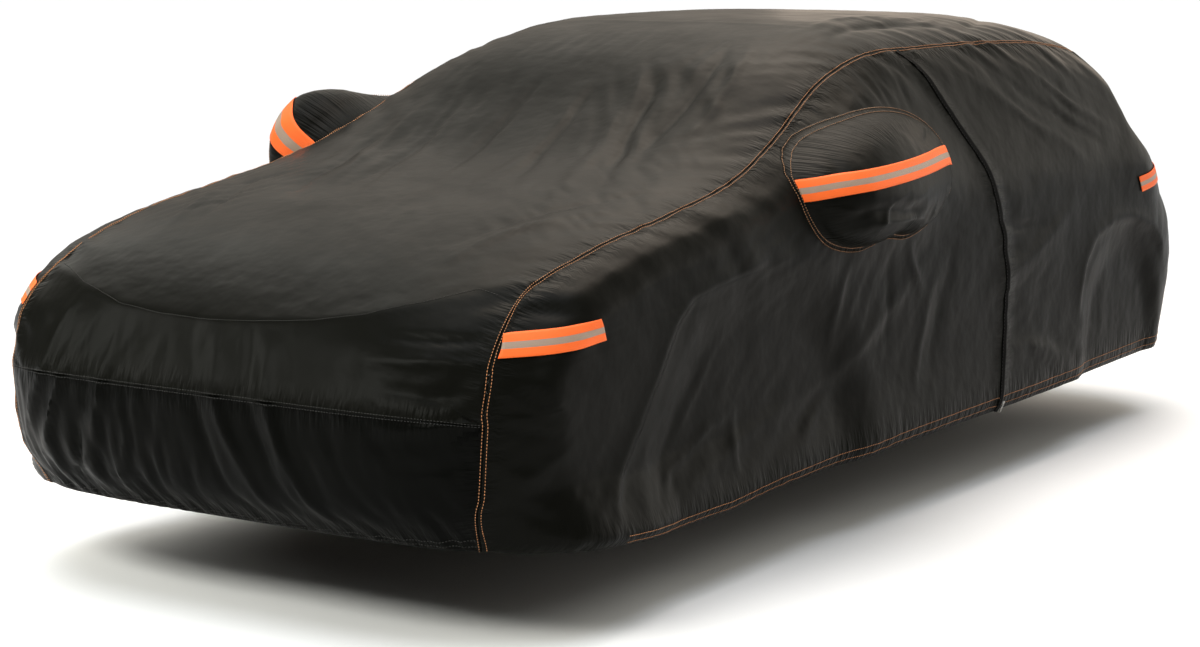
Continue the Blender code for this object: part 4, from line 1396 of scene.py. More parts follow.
@dataclass
class TopPanel:
    """The top in two pieces: the skirt below the front seam, and one long panel from there to the rear hem."""

    shop: Workshop
    step: float = 0.0145        # size of the cloth's grid
    thickness: float = 0.0015
    fine: int = 181             # places across at which the form is read before it is spaced evenly
    seam_calm: float = 0.045    # distance from the long seams in which the folds start
    front_calm: float = 0.012   # the same at the front seam, where some of each fold runs through
    front_keep: float = 0.35
    pucker_calm: float = 0.04
    front_seam_share: float = 0.2   # how marked the front seam is against the long ones
    front_seam_reach: float = 0.03
    seam_margin: int = 4        # columns without stitches at the ends of the front seam
    lip_margin: int = 8         # and of the bonnet lip
    hem_margin: int = 2         # and of the hems
    front_thread_width: float = 0.0018
    skirt_flat: tuple[float, float] = (1.62, 0.42)
    panel_flat: tuple[float, float] = (1.66, 5.58)

    def cloth(self, first: float, last: float) -> Cloth:
        """Make the cloth between two lengths along the centreline.

        Args:
            first: length of the first row from the front hem.
            last: length of the last row.

        Returns:
            The cloth with its folds, rows running from the right seam to the left.
        """
        form = self.shop.form
        at_hem = (first <= 0.0, last >= form.length)
        steps = [HEM_STEPS if hem else SEAM_STEPS for hem in at_hem]
        run = first + edge_spaced(last - first, steps[0], steps[1], self.step)
        across = np.linspace(-1, 1, self.fine)
        plain = form.top_point(run[:, None], across[None])
        outward = -np.stack([0 * run, form.read(run).inward_y, form.read(run).inward_z], axis=1)[:, None]
        normal = normals_of(plain, outward)
        widths = np.array([run_of(row)[-1] for row in plain])
        wide = edge_spaced(widths.max(), SEAM_STEPS, SEAM_STEPS, self.step)
        count = len(wide)
        points, turned, seam = (np.empty((len(run), count, size)) for size in (3, 3, 1))
        for index, row in enumerate(plain):
            length = run_of(row)
            middle = (wide[len(SEAM_STEPS):-len(SEAM_STEPS)] / wide[-1]) * length[-1]
            places = np.concatenate([SEAM_STEPS, middle, length[-1] - SEAM_STEPS[::-1]])
            places = np.maximum.accumulate(places)
            for k in range(3):
                points[index, :, k] = np.interp(places, length, row[:, k])
                turned[index, :, k] = np.interp(places, length, normal[index, :, k])
            seam[index, :, 0] = np.minimum(places, length[-1] - places)
        turned /= np.linalg.norm(turned, axis=2, keepdims=True)
        return self._folded(points, turned, run, seam[..., 0], first, last)

    def _folded(self, points: Array, normal: Array, run: Array, seam: Array, first: float, last: float) -> Cloth:
        """Raise the folds out of the plain cloth."""
        form = self.shop.form
        along = np.repeat(run[:, None], points.shape[1], axis=1)
        x = points[..., 0]
        front_seam = np.abs(along - form.run_at["skirt seam"])
        hem = np.minimum(along, form.length - along)
        calm = ease(seam / self.seam_calm) * ease(front_seam / self.front_calm + self.front_keep)
        pucker_calm = ease(seam / self.pucker_calm)
        relief = CREASING.folds(x, along, TOP_FOLDS) + CREASING.crumples(x, along, TOP_CRUMPLES, 100)
        relief += CREASING.edges(x, along, TOP_EDGES)
        relief *= calm
        for pucker in TOP_SEAM_PUCKERS:
            relief += CREASING.puckers(along, seam, pucker)
        relief += CREASING.puckers(x, front_seam, FRONT_SEAM_PUCKERS) * pucker_calm
        relief += CREASING.puckers(x, hem, END_HEM_PUCKERS) * pucker_calm
        relief += form.seam_ripple(along) * np.exp(-seam / RIPPLE_FADE) + seam_relief(seam)
        relief += self.front_seam_share * seam_relief(front_seam) * (front_seam < self.front_seam_reach)
        folded = points + normal * relief[..., None]
        maps = {
            "cloth": np.stack([x, along], axis=2),
            "seam": np.stack([np.where(seam < front_seam, along, x), np.minimum(seam, front_seam)], axis=2),
            "hem": np.stack([x, hem], axis=2),
        }
        cloth = Cloth(folded, normals_of(folded, normal), maps)
        if first <= 0.0:
            cloth = turned_under(cloth, at_start=True)
        if last >= form.length:
            cloth = turned_under(cloth, at_start=False)
        return cloth

    def build(self) -> None:
        """Make both pieces and their stitches."""
        shop, form = self.shop, self.shop.form
        split = form.run_at["skirt seam"]
        skirt, panel = self.cloth(0.0, split), self.cloth(split, form.length)
        for name, cloth, flat, finish in (("front_skirt", skirt, self.skirt_flat, shop.skirt_cloth),
                                          ("top_panel", panel, self.panel_flat, shop.cloth)):
            piece = cloth_object(name, cloth, self.thickness)
            shop.finish_piece(piece, finish, "cloth", name)
        rows = []
        for cloth in (skirt, panel):
            for index in (SEAM_ROW, -1 - SEAM_ROW):
                rows.append(lifted(cloth, (slice(None), index)))
        shop.sew("stitches_top_seams", rows, shop.orange_thread)
        inner = slice(self.seam_margin, -self.seam_margin)
        rows = [lifted(panel, (SEAM_ROW, inner)), lifted(skirt, (-1 - SEAM_ROW, inner))]
        lip = np.array(TOP_EDGES[0].points)
        level = np.interp(panel.points[0, self.lip_margin:-self.lip_margin, 0], *lip.T)
        rows.append(self._row_at(panel, level))
        shop.sew("stitches_front_seam", rows, shop.dark_thread, {"Width": self.front_thread_width})
        turn, inner = len(UNDER), slice(self.hem_margin, -self.hem_margin)
        rows = [lifted(skirt, (turn + index, inner)) for index in HEM_ROWS]
        rows += [lifted(panel, (-1 - turn - index, inner)) for index in HEM_ROWS]
        shop.sew("stitches_end_hems", rows, shop.dark_thread)

    def _row_at(self, cloth: Cloth, level: Array) -> Array:
        """Points of the cloth at given lengths along the centreline, one for each inner column."""
        run = cloth.maps["cloth"][:, 0, 1]
        line = np.empty((len(level), 3))
        for index, place in enumerate(level):
            raised = lifted(cloth, (slice(None), index + self.lip_margin))
            line[index] = [np.interp(place, run, raised[:, k]) for k in range(3)]
        return line


# The turned-under edge of the hem: how far in and how far down each of its rows lies from the edge.
UNDER = np.array([[0.0022, 0.0015], [0.0052, 0.0022], [0.0085, 0.0005], [0.0105, -0.0045]])


def turned_under(cloth: Cloth, at_start: bool) -> Cloth:
    """Add the turned-under edge of a hem.

    Args:
        cloth: the cloth, with the hem along its first or last column.
        at_start: whether the hem is the first column.

    Returns:
        The cloth with more columns at that end.
    """
    edge = 0 if at_start else -1
    point, normal = cloth.points[edge], cloth.normals[edge]
    added = np.array([point - normal * inwards + np.array([0, 0, -down]) for inwards, down in UNDER])

    def joined(values: Array, more: Array) -> Array:
        """The values with more of them at the hem's end."""
        return np.concatenate((more[::-1], values) if at_start else (values, more))

    def repeated(values: Array) -> Array:
        """The values with those at the hem written again for each new column."""
        return joined(values, np.repeat(values[[edge]], len(UNDER), axis=0))

    maps = {name: repeated(values) for name, values in cloth.maps.items()}
    return Cloth(joined(cloth.points, added), repeated(cloth.normals), maps)


def lifted(cloth: Cloth, where: Any, lift: float = STITCH_LIFT) -> Array:
    """Points of the cloth, raised a little along its normals."""
    return cloth.points[where] + cloth.normals[where] * lift


def coons(bottom: Array, top: Array, front: Array, rear: Array, u: Array, v: Array) -> Array:
    """Surface between four edges.

    Args:
        bottom: lower edge, running rearwards.
        top: upper edge, running rearwards.
        front: front edge, running upwards.
        rear: rear edge, running upwards.
        u: place of each column, from 0 to 1.
        v: place of each row, from 0 to 1.

    Returns:
        The surface, (columns, rows, size).
    """
    u, v = u[:, None, None], v[None, :, None]
    corners = (
        (1 - u) * (1 - v) * bottom[0] + u * (1 - v) * bottom[-1]
        + (1 - u) * v * top[0] + u * v * top[-1]
    )
    return (1 - v) * bottom[:, None] + v * top[:, None] + (1 - u) * front[None] + u * rear[None] - corners


@dataclass
class SidePanels:
    """One side of the cover. The left side is in two panels that a zip joins."""

    shop: Workshop
    side: Side
    step: float = 0.0135
    thickness: float = 0.0015
    height: float = 0.95        # about how long the cloth is from hem to seam
    zip_top_y: float = 1.355
    zip_foot_y: float = 1.655
    zip_bow: float = 0.085
    zip_bow_reach: float = 0.70
    seam_fade: float = 0.12
    hem_stitches_from: float = -0.56    # the stitches of the hem start here (y)
    seam_count: int = 800       # points in which the long seam is searched for the zip's end
    ring_count: int = 240       # points of the pocket's outline
    ring_spacing: float = 0.011     # about how far apart they are
    ring_calm: float = 0.03     # distance from it in which the crumples start
    seam_calm: float = 0.05     # distance from the seams in which all the folds start
    right_shift: int = 50       # what the right side's puckers add to their seeds
    zip_rise: float = 0.0030    # how far the cloth rises under the zip
    zip_rise_reach: float = 0.030
    hole_inset: float = 0.022   # how far inside the pocket's outline the hole for it is cut
    hole_count: int = 120
    cloth_share: float = 0.90   # of the rectangle of its flat size
    front_flat: tuple[float, float] = (2.75, 1.24)
    rear_flat: tuple[float, float] = (1.92, 1.20)
    whole_flat: tuple[float, float] = (4.42, 1.24)

    def _edges(self) -> tuple[Array, Array, Array, Array, Array, Array, int]:
        """Lay out the four edges.

        Returns:
            The seam's front, top and rear edges, the places of columns and rows, the lengths of the top's columns
            along the centreline, and the column of the zip.
        """
        form = self.shop.form
        nose, spoiler = form.run_at["bonnet nose"], form.run_at["spoiler"]
        fine = np.linspace(nose, spoiler, self.seam_count)
        zip_run = float(np.interp(self.zip_top_y, form.seam_point(fine)[:, 1], fine))
        before = nose + edge_spaced(zip_run - nose, SEAM_STEPS, SEAM_STEPS, self.step)
        after = zip_run + edge_spaced(spoiler - zip_run, SEAM_STEPS, SEAM_STEPS, self.step)
        top_run = np.concatenate([before, after[1:]])
        u = (top_run - nose) / (spoiler - nose)
        v = edge_spaced(self.height, HEM_STEPS, SEAM_STEPS, self.step) / self.height
        self._front_run, self._rear_run = v * nose, form.length - v * (form.length - spoiler)
        return (form.seam_point(self._front_run), form.seam_point(top_run), form.seam_point(self._rear_run),
                u, v, top_run, len(before) - 1)

    def cloth(self) -> tuple[Cloth, int]:
        """Make the side's cloth on the left.

        Returns:
            The cloth, columns from front to rear and rows from the hem up, and the column of the zip.
        """
        form = self.shop.form
        front, top, rear, u, v, top_run, zip_column = self._edges()
        share = np.concatenate([
            u[:zip_column + 1] / u[zip_column], 1 + (u[zip_column + 1:] - u[zip_column]) / (1 - u[zip_column])])
        foot = np.interp(share, (0, 1, 2), (front[0, 1], self.zip_foot_y, rear[0, 1]))
        bottom = np.stack([foot, form.hem_height(foot)], axis=1)
        bottom[0], bottom[-1] = front[0, 1:], rear[0, 1:]
        plane = coons(bottom, top[:, 1:], front[:, 1:], rear[:, 1:], u, v)
        along = (plane[..., 0] - self.zip_foot_y) / self.zip_bow_reach
        plane[..., 0] += self.zip_bow * np.exp(-(along**2)) * 4 * v * (1 - v)
        y, z = plane[..., 0], plane[..., 1]
        x = form.side_x(y, z)
        none = np.zeros((len(u), 1))
        short = coons(none, (top[:, 0] - x[:, -1])[:, None], (front[:, 0] - x[0])[:, None],
                      (rear[:, 0] - x[-1])[:, None], u, v)[..., 0]
        seams = np.concatenate([front, top, rear[::-1]])
        runs = np.concatenate([self._front_run, top_run, self._rear_run[::-1]])
        plain = np.stack([x + short, y, z], axis=2)
        seam, nearest = self._nearest(plain, seams)
        inner = ease(seam / self.seam_fade)
        plain[..., 0] += form.side_forms(y, z) * inner
        return self._folded(plain, seam, runs[nearest], zip_column), zip_column

    @staticmethod
    def _nearest(grid: Array, line: Array) -> tuple[Array, Array]:
        """Distance from each point of a grid to a line, and the nearest point's number."""
        distance, nearest = np.empty(grid.shape[:2]), np.empty(grid.shape[:2], int)
        for index, column_points in enumerate(grid):
            apart = np.linalg.norm(column_points[:, None] - line[None], axis=2)
            nearest[index] = apart.argmin(axis=1)
            distance[index] = apart.min(axis=1)
        return distance, nearest

    def _folded(self, plain: Array, seam: Array, along: Array, zip_column: int) -> Cloth:
        """Raise the folds out of the plain side."""
        form = self.shop.form
        y, z = plain[..., 1], plain[..., 2]
        normal = normals_of(plain, np.array([1.0, 0.0, 0.0]))
        left = self.side is Side.LEFT
        folds = CREASING.folds(y, z, LEFT_FOLDS if left else RIGHT_FOLDS) + CREASING.edges(y, z, SIDE_EDGES)
        crumples = CREASING.crumples(y, z, SIDE_CRUMPLES, 300 if left else 400)
        hem = np.array([run_of(points) for points in plain])
        calm = ease(seam / self.seam_calm)
        ring, number = self._nearest(plain[..., 1:], pocket_ring(0.0, self.ring_count))
        relief = (folds + crumples * ease(ring / self.ring_calm)) * calm
        shift = 0 if left else self.right_shift
        for pucker in SIDE_SEAM_PUCKERS:
            relief += CREASING.puckers(along, seam, pucker, shift)
        relief += CREASING.puckers(number * self.ring_spacing, ring, AROUND_POCKET_PUCKERS, shift)
        relief += CREASING.puckers(y, hem, SIDE_HEM_PUCKERS, shift) * calm
        relief += form.seam_ripple(along) * np.exp(-seam / RIPPLE_FADE) + seam_relief(seam)
        gap = np.full(y.shape, FAR)
        if left:
            gap = np.linalg.norm(plain - plain[zip_column], axis=2)
            relief += CREASING.puckers(z, gap, ZIP_PUCKERS) * calm
            relief += self.zip_rise * np.exp(-((gap / self.zip_rise_reach) ** 2)) * calm
        folded = plain + normal * relief[..., None]
        nearest = np.minimum(seam, gap)
        maps = {
            "cloth": np.stack([y, z], axis=2),
            "seam": np.stack([np.where(seam < gap, along, z), nearest], axis=2),
            "hem": np.stack([y, hem], axis=2),
        }
        return Cloth(folded, normals_of(folded, normal), maps)

    def build(self) -> tuple[Cloth, int]:
        """Make the panels and their stitches.

        Returns:
            The side's cloth, on its own side, without the turned-under hem, and the column of the zip.
        """
        shop = self.shop
        cloth, zip_column = self.cloth()
        if self.side is Side.RIGHT:
            cloth = cloth.mirrored()
        last = len(cloth.points)
        if self.side is Side.LEFT:
            panels = (("side_left_front", cloth.part(0, zip_column + 1), self.front_flat),
                      ("side_left_rear", cloth.part(zip_column, last), self.rear_flat))
        else:
            panels = (("side_right", cloth, self.whole_flat),)
        for name, panel, flat in panels:
            hemmed = across(turned_under(across(panel), at_start=True))
            piece = cloth_object(name, hemmed, self.thickness, self._outside_pocket(hemmed))
            shop.finish_piece(piece, shop.cloth, "cloth", name)
        inner = slice(1, -1)
        rows = [lifted(cloth, where) for where in (
            (slice(None), -1 - SEAM_ROW), (SEAM_ROW, inner), (-1 - SEAM_ROW, inner))]
        shop.sew(f"stitches_seam_{self.side.word}", rows, shop.orange_thread)
        rows = [lifted(cloth, (slice(self._bare_columns(cloth), -1), index)) for index in HEM_ROWS]
        shop.sew(f"stitches_hem_{self.side.word}", rows, shop.orange_thread)
        return cloth, zip_column

    def _bare_columns(self, cloth: Cloth) -> int:
        """How many columns at the front have no stitches in their hem."""
        return int(np.argmax(cloth.points[:, 0, 1] > self.hem_stitches_from))

    def _outside_pocket(self, cloth: Cloth) -> Array:
        """Which faces of a panel lie outside its mirror pocket."""
        middle = (cloth.points[:-1, :-1] + cloth.points[1:, 1:]) / 2
        return ~inside_ring(middle[..., 1], middle[..., 2], pocket_ring(-self.hole_inset, self.hole_count))


def across(cloth: Cloth) -> Cloth:
    """The same cloth with its columns and rows changed over."""
    maps = {name: values.transpose(1, 0, 2) for name, values in cloth.maps.items()}
    return Cloth(cloth.points.transpose(1, 0, 2), cloth.normals.transpose(1, 0, 2), maps)


def pocket_ring(grow: float, count: int) -> Array:
    """Closed outline of a mirror pocket.

    Args:
        grow: how far the outline is moved outwards.
        count: number of points.

    Returns:
        The points (y, z).
    """
    knots = column(POCKET, "y", "z")
    padded = np.vstack([knots[-3:], knots, knots[:3]])
    where = 3 + np.arange(count) / count * len(knots)
    ring = smooth(np.arange(len(padded), dtype=float), padded, where)
    along = np.roll(ring, -1, axis=0) - np.roll(ring, 1, axis=0)
    along /= np.linalg.norm(along, axis=1)[:, None]
    return ring + np.stack([-along[:, 1], along[:, 0]], axis=1) * grow


def inside_ring(y: Array, z: Array, ring: Array) -> Array:
    """Whether each point (y, z) lies inside a closed outline."""
    inside = np.zeros(y.shape, bool)
    for (y0, z0), (y1, z1) in zip(ring, np.roll(ring, -1, axis=0)):
        crosses = (z0 > z) != (z1 > z)
        level = y0 + (z - z0) * (y1 - y0) / (z1 - z0 if z1 != z0 else 1e-9)
        inside ^= crosses & (y < level)
    return inside


def at_places(cloth: Cloth, places: Array) -> Array:
    """Points of a cloth at places of its own map.

    Args:
        cloth: the cloth.
        places: values of its map "cloth", (columns, rows, 2).

    Returns:
        The points, (columns, rows, 3).
    """
    columns, rows = cloth.points.shape[:2]
    flat = np.concatenate([cloth.maps["cloth"], np.zeros((columns, rows, 1))], axis=2).reshape(-1, 3)
    solid = cloth.points.reshape(-1, 3)
    quads = grid_faces(columns, rows)
    corners = np.concatenate([quads[:, :3], quads[:, [0, 2, 3]]])
    tree = BVHTree.FromPolygons(flat.tolist(), corners.tolist())
    found = np.empty((*places.shape[:2], 3))
    for index in np.ndindex(places.shape[:2]):
        hit, _, number, _ = tree.find_nearest(Vector((*places[index], 0.0)))
        three = corners[number]
        found[index] = barycentric_transform(hit, *map(Vector, flat[three]), *map(Vector, solid[three]))
    return found


class Dome(NamedTuple):
    """How a mirror pocket stands out of the side."""

    bulge: float                # how far
    square: float               # how square its section is
    rise: float                 # how far it leans upwards
    forward: float              # and forwards
    tail: float                 # how much of the bulge is left at the rear


DOMES = {Side.LEFT: Dome(0.125, 3.0, 0.0, 0.0, 0.36), Side.RIGHT: Dome(0.165, 4.5, 0.190, 0.110, 0.0)}


@dataclass
class MirrorPocket:
    """The domed pocket for a door mirror, sewn into a hole in the side."""

    shop: Workshop
    side: Side
    centre: tuple[float, float] = (0.790, 1.045)
    peak: float = 0.56
    front_share: float = 0.90
    rise_from: float = 0.98     # height at which the pocket starts to lean upwards
    rise_reach: float = 0.20
    rise_back: float = 0.80     # where along the length that lean has faded out
    rise_fade: float = 0.26
    forward_reach: float = 0.35
    rings: int = 30
    around: int = 200
    rim: float = 0.0165         # width of the flat edge that is sewn on the side
    crowding: float = 1.15      # how much closer its rings lie at the edge
    last_ring: float = 0.004    # size of the ring in the middle
    calm: float = 0.05          # distance from the seam in which the folds start
    lift: float = 0.0026        # height over the side's cloth
    edge_sink: float = 0.0018   # how much lower the outer edge lies
    stitch_rings: tuple[float, float] = (0.0025, 0.0140)    # how far outside the outline the stitches run
    stitch_count: int = 260
    cloth_share: float = 0.80   # of the rectangle of its flat size
    thickness: float = 0.0015
    flat: tuple[float, float] = (1.08, 0.52)

    def cloth(self, under: BVHTree) -> Cloth:
        """Make the pocket's cloth.

        Args:
            under: the side's surface.

        Returns:
            The cloth, columns round the pocket and rows from its edge to its middle.
        """
        sign = self.side.value
        ring = pocket_ring(0.0, self.around)
        centre = np.array(self.centre)
        share = np.concatenate([[1.0], 1 - (np.arange(1, self.rings + 1) / self.rings) ** self.crowding])
        share[-1] = self.last_ring
        plane = centre + (ring[:, None] - centre) * share[None, :, None]
        edge = pocket_ring(self.rim, self.around)[:, None]
        plane = np.concatenate([edge, plane], axis=1)
        share = np.concatenate([[1.0], share])
        y, z = plane[..., 0], plane[..., 1]
        points, _ = cast(under, sign, y, z)
        reach = column(POCKET, "y")[:, 0]
        dome = DOMES[self.side]
        lean = np.interp(y, (reach.min(), self.peak, reach.max()), (self.front_share, 1.0, dome.tail))
        out = (1 - share[None] ** dome.square) ** 0.5
        size = np.linalg.norm(ring - centre, axis=1)[:, None]
        inwards = size * (1 - share[None])
        calm = ease(inwards / self.calm)
        relief = CREASING.folds(y, z, POCKET_FOLDS) + CREASING.crumples(y, z, POCKET_CRUMPLES, 600)
        around = run_of(np.vstack([ring, ring[:1]]))[:-1, None] + 0 * y
        relief = relief * calm + CREASING.puckers(around, inwards, POCKET_PUCKERS)
        rise = out * np.clip((z - self.rise_from) / self.rise_reach, 0, 1)
        rise *= np.clip((self.rise_back - y) / self.rise_fade, 0, 1)
        points[..., 0] += sign * (self.lift + dome.bulge * lean * out + relief)
        points[..., 1] -= dome.forward * out * np.clip((self.centre[0] - y) / self.forward_reach, 0, 1)
        points[..., 2] += dome.rise * rise
        points[:, 0, 0] -= sign * self.edge_sink
        normal = normals_of(points, np.array([sign, 0.0, 0.0]))
        maps = {
            "cloth": plane,
            "seam": np.stack([around, inwards], axis=2),
            "hem": np.stack([y, np.full(y.shape, FAR)], axis=2),
        }
        return Cloth(points, normal, maps)

    def build(self, side_cloth: Cloth) -> Cloth:
        """Make the pocket and its stitches.

        Args:
            side_cloth: the side that it is sewn to.

        Returns:
            The pocket's cloth, as an open grid whose last column repeats the first.
        """
        shop = self.shop
        tree = search_tree(side_cloth)
        cloth = self.cloth(tree)
        again = {name: np.concatenate([values, values[:1]]) for name, values in cloth.maps.items()}
        closed = Cloth(np.concatenate([cloth.points, cloth.points[:1]]),
                       np.concatenate([cloth.normals, cloth.normals[:1]]), again)
        name = f"mirror_pocket_{self.side.word}"
        piece = self._object(name, cloth)
        shop.finish_piece(piece, shop.cloth, "cloth", name)
        tree = search_tree(closed)
        rows = []
        for grow in self.stitch_rings:
            ring = pocket_ring(grow, self.stitch_count)
            row, turned = cast(tree, self.side.value, ring[:, 0], ring[:, 1])
            rows.append(np.vstack([row, row[:1]]) + np.vstack([turned, turned[:1]]) * STITCH_LIFT)
        shop.sew(f"stitches_pocket_{self.side.word}", rows, shop.pale_thread)
        return closed

    def _object(self, name: str, cloth: Cloth) -> bpy.types.Object:
        """Make the pocket a sheet and close its middle."""
        count, rows = cloth.points.shape[:2]
        made = cloth_object(name, cloth, self.thickness, closed=True)
        whole = bmesh.new()
        whole.from_mesh(made.data)
        whole.verts.ensure_lookup_table()
        middle = [whole.verts[index * rows + rows - 1] for index in range(count)]
        bmesh.ops.pointmerge(whole, verts=middle, merge_co=sum((v.co for v in middle), Vector()) / count)
        whole.to_mesh(made.data)
        whole.free()
        made.data.shade_smooth()
        return made


@dataclass
class ReflectiveStrip:
    """A reflective strip, sewn flat on the cloth below it."""

    shop: Workshop
    side: Side
    line: Strip
    width: float = 0.056
    lift: float = 0.0048
    thickness: float = 0.0012
    step: float = 0.006
    rows: int = 11
    columns: int = 150          # of a strip that is wrapped round a pocket
    overlap: float = 0.003      # how far beyond the pocket's outline it runs
    ring_count: int = 400
    end_reach: float = 0.12     # how far from an end's place the outline is searched for it
    smoothings: int = 6

    def _flat(self, under: Cloth) -> Array:
        """Lay the strip on a side.

        Args:
            under: the side's cloth.

        Returns:
            The strip's points on the cloth.
        """
        line = self.line
        start, end = np.array([line.y0, line.z0]), np.array([line.y1, line.z1])
        length = float(np.linalg.norm(end - start))
        along = (end - start) / length
        up = np.array([-along[1], along[0]])
        s = np.linspace(0, 1, int(length / self.step))
        t = np.linspace(-0.5, 0.5, self.rows)
        plane = start + s[:, None, None] * (end - start) + t[None, :, None] * self.width * up
        plane[..., 0] -= t * (line.slant0 + (line.slant1 - line.slant0) * s[:, None])
        return cast(search_tree(under), self.side.value, plane[..., 0], plane[..., 1])[0]

    def _wrapped(self, under: Cloth) -> Array:
        """Lay the strip round a mirror pocket, from seam to seam.

        Args:
            under: the pocket's cloth.

        Returns:
            The strip's points on the cloth.
        """
        line = self.line
        share = 0.5 - 0.5 * np.cos(np.pi * np.linspace(0, 1, self.columns))[:, None]
        swell = (1 - np.abs(2 * share - 1) ** 3) ** 0.5
        height = np.linspace(-0.5, 0.5, self.rows) * self.width
        ring = pocket_ring(self.overlap, self.ring_count)
        ring = ring[np.argsort(ring[:, 1])]
        ends = []
        for y, z in ((line.y0, line.z0), (line.y1, line.z1)):
            near = ring[np.abs(ring[:, 0] - y) < self.end_reach]
            ends.append(np.interp(z + height, near[:, 1], near[:, 0]))
        y = ends[0] + (ends[1] - ends[0]) * share
        z = line.z0 + (line.z1 - line.z0) * share + line.bow * swell + height
        return at_places(under, np.stack([y, z], axis=2))

    def build(self, under: Cloth) -> None:
        """Make the strip.

        Args:
            under: the cloth that it is sewn on.
        """
        shop, line = self.shop, self.line
        points = self._wrapped(under) if line.name == "mirror" else self._flat(under)
        for _ in range(self.smoothings):
            points[:, 1:-1] = (points[:, :-2] + 2 * points[:, 1:-1] + points[:, 2:]) / 4
            points[1:-1] = (points[:-2] + 2 * points[1:-1] + points[2:]) / 4
        normals = normals_of(points, np.array([self.side.value, 0.0, 0.0]))
        raised = points + normals * self.lift
        place = run_of(points[:, self.rows // 2])[:, None] / self.width
        maps = {"tape": np.stack(np.broadcast_arrays(place, np.linspace(0, 1, self.rows)[None]), axis=2)}
        name = f"strip_{line.name}_{self.side.word}"
        piece = cloth_object(name, Cloth(raised, normals, maps), self.thickness)
        shop.finish_piece(piece, shop.tape, "tape", name)


@dataclass
class SideZip:
    """The zip in the left side: tape and teeth under a narrow cloth flap, with a metal pull at the hem."""

    shop: Workshop
    section: tuple[tuple[float, float], ...] = (
        (-0.0150, 0.0010), (-0.0120, 0.0024), (-0.0060, 0.0040), (0.0000, 0.0054), (0.0026, 0.0060),
        (0.0038, 0.0050), (0.0042, 0.0012), (0.0056, 0.0008), (0.0110, 0.0010), (0.0150, 0.0008),
    )                           # places across the zip and their heights: the flap, and the tape behind it
    thickness: float = 0.0010
    flat_width: float = 0.040   # of the tape, laid flat
    stray: float = 0.0016       # how far it strays from the join
    stray_length: float = 0.05
    stray_seed: int = 71
    stitch_row: int = 1         # places in the section where the stitches and the teeth run
    teeth_row: int = 7
    row_lift: float = 0.0004
    pull_height: float = 0.245
    pull_bevel: float = 0.0007
    pull_boxes: tuple[tuple[tuple[float, float, float], tuple[float, float, float]], ...] = (
        ((0.0050, 0.0110, 0.0130), (0.0115, -0.002, 0.016)),
        ((0.0016, 0.0085, 0.0260), (0.0138, -0.002, -0.004)),
        ((0.0030, 0.0040, 0.0060), (0.0140, -0.002, 0.014)),
    )                           # sizes and places of the slider, the tab and the eye that holds it

    def build(self, cloth: Cloth, zip_column: int) -> None:
        """Make the zip and its pull.

        Args:
            cloth: the left side.
            zip_column: the column where the two panels meet.
        """
        shop = self.shop
        line, normal = cloth.points[zip_column, :-2], cloth.normals[zip_column, :-2]
        along = np.gradient(line, axis=0)
        along /= np.linalg.norm(along, axis=1)[:, None]
        rearwards = np.cross(along, normal)
        rearwards *= np.sign(rearwards[:, 1:2])
        run = run_of(line)
        uneven = Noise(self.stray_seed)(run / self.stray_length, run * 0 + 0.5)[:, None] * self.stray
        places, heights = np.array(self.section).T
        grid = (
            line[:, None] + rearwards[:, None] * (places[None, :, None] + uneven[:, None])
            + normal[:, None] * heights[None, :, None]
        )
        maps = {"cloth": np.stack(np.broadcast_arrays(places[None], run[:, None]), axis=2)}
        band = Cloth(grid, normals_of(grid, np.array([1.0, 0.0, 0.0])), maps)
        # The flap and the tape both take the zip's near-black finish; on the flap that darkness is painted shade.
        piece = cloth_object("zip_left", band, self.thickness)
        shop.finish_piece(piece, shop.zip_tape, "zip", "zip_left")
        for name, row, sizes in (
                ("stitches_zip", self.stitch_row, {"Width": 0.0014, "Spacing": 0.0110}),
                ("zip_teeth", self.teeth_row, {"Spacing": 0.0040, "Length": 0.0022, "Width": 0.0042})):
            shop.sew(name, [lifted(band, (slice(None), row), self.row_lift)], shop.dark_thread, sizes)
        self._pull(line, normal)

    def _pull(self, line: Array, normal: Array) -> None:
        """Make the slider and the tab that hangs from it."""
        place, facing = (np.array([np.interp(self.pull_height, line[:, 2], values) for values in given.T])
                         for given in (line, normal))
        facing /= np.linalg.norm(facing)
        whole = bmesh.new()
        for size, shift in self.pull_boxes:
            box = bmesh.ops.create_cube(whole, size=1.0)["verts"]
            bmesh.ops.scale(whole, vec=size, verts=box)
            bmesh.ops.translate(whole, vec=shift, verts=box)
        bmesh.ops.bevel(whole, geom=list(whole.edges), offset=self.pull_bevel, segments=2, affect="EDGES")
        mesh = bpy.data.meshes.new("zip_pull")
        whole.to_mesh(mesh)
        whole.free()
        turn = Vector(facing).to_track_quat("X", "Z").to_matrix().to_4x4()
        mesh.transform(Matrix.Translation(Vector(place - REST)) @ turn)
        mesh.shade_smooth()
        piece = bpy.data.objects.new("zip_pull_tab", mesh)
        bpy.context.scene.collection.objects.link(piece)
        self.shop.finish_piece(piece, self.shop.metal, "metal", "zip_pull")


# ---------------------------------------------------------------- the studio
class Glow(NamedTuple):
    """A soft bright part of the sky."""

    name: str
    toward: tuple[float, float, float]
    strength: float
    colour: tuple[float, float, float]


class Softbox(NamedTuple):
    """A broad lamp: where it hangs, what it points at, its sizes and its power in watts."""

    name: str
    place: tuple[float, float, float]
    aim: tuple[float, float, float]
    width: float
    length: float
    power: float
    colour: tuple[float, float, float]


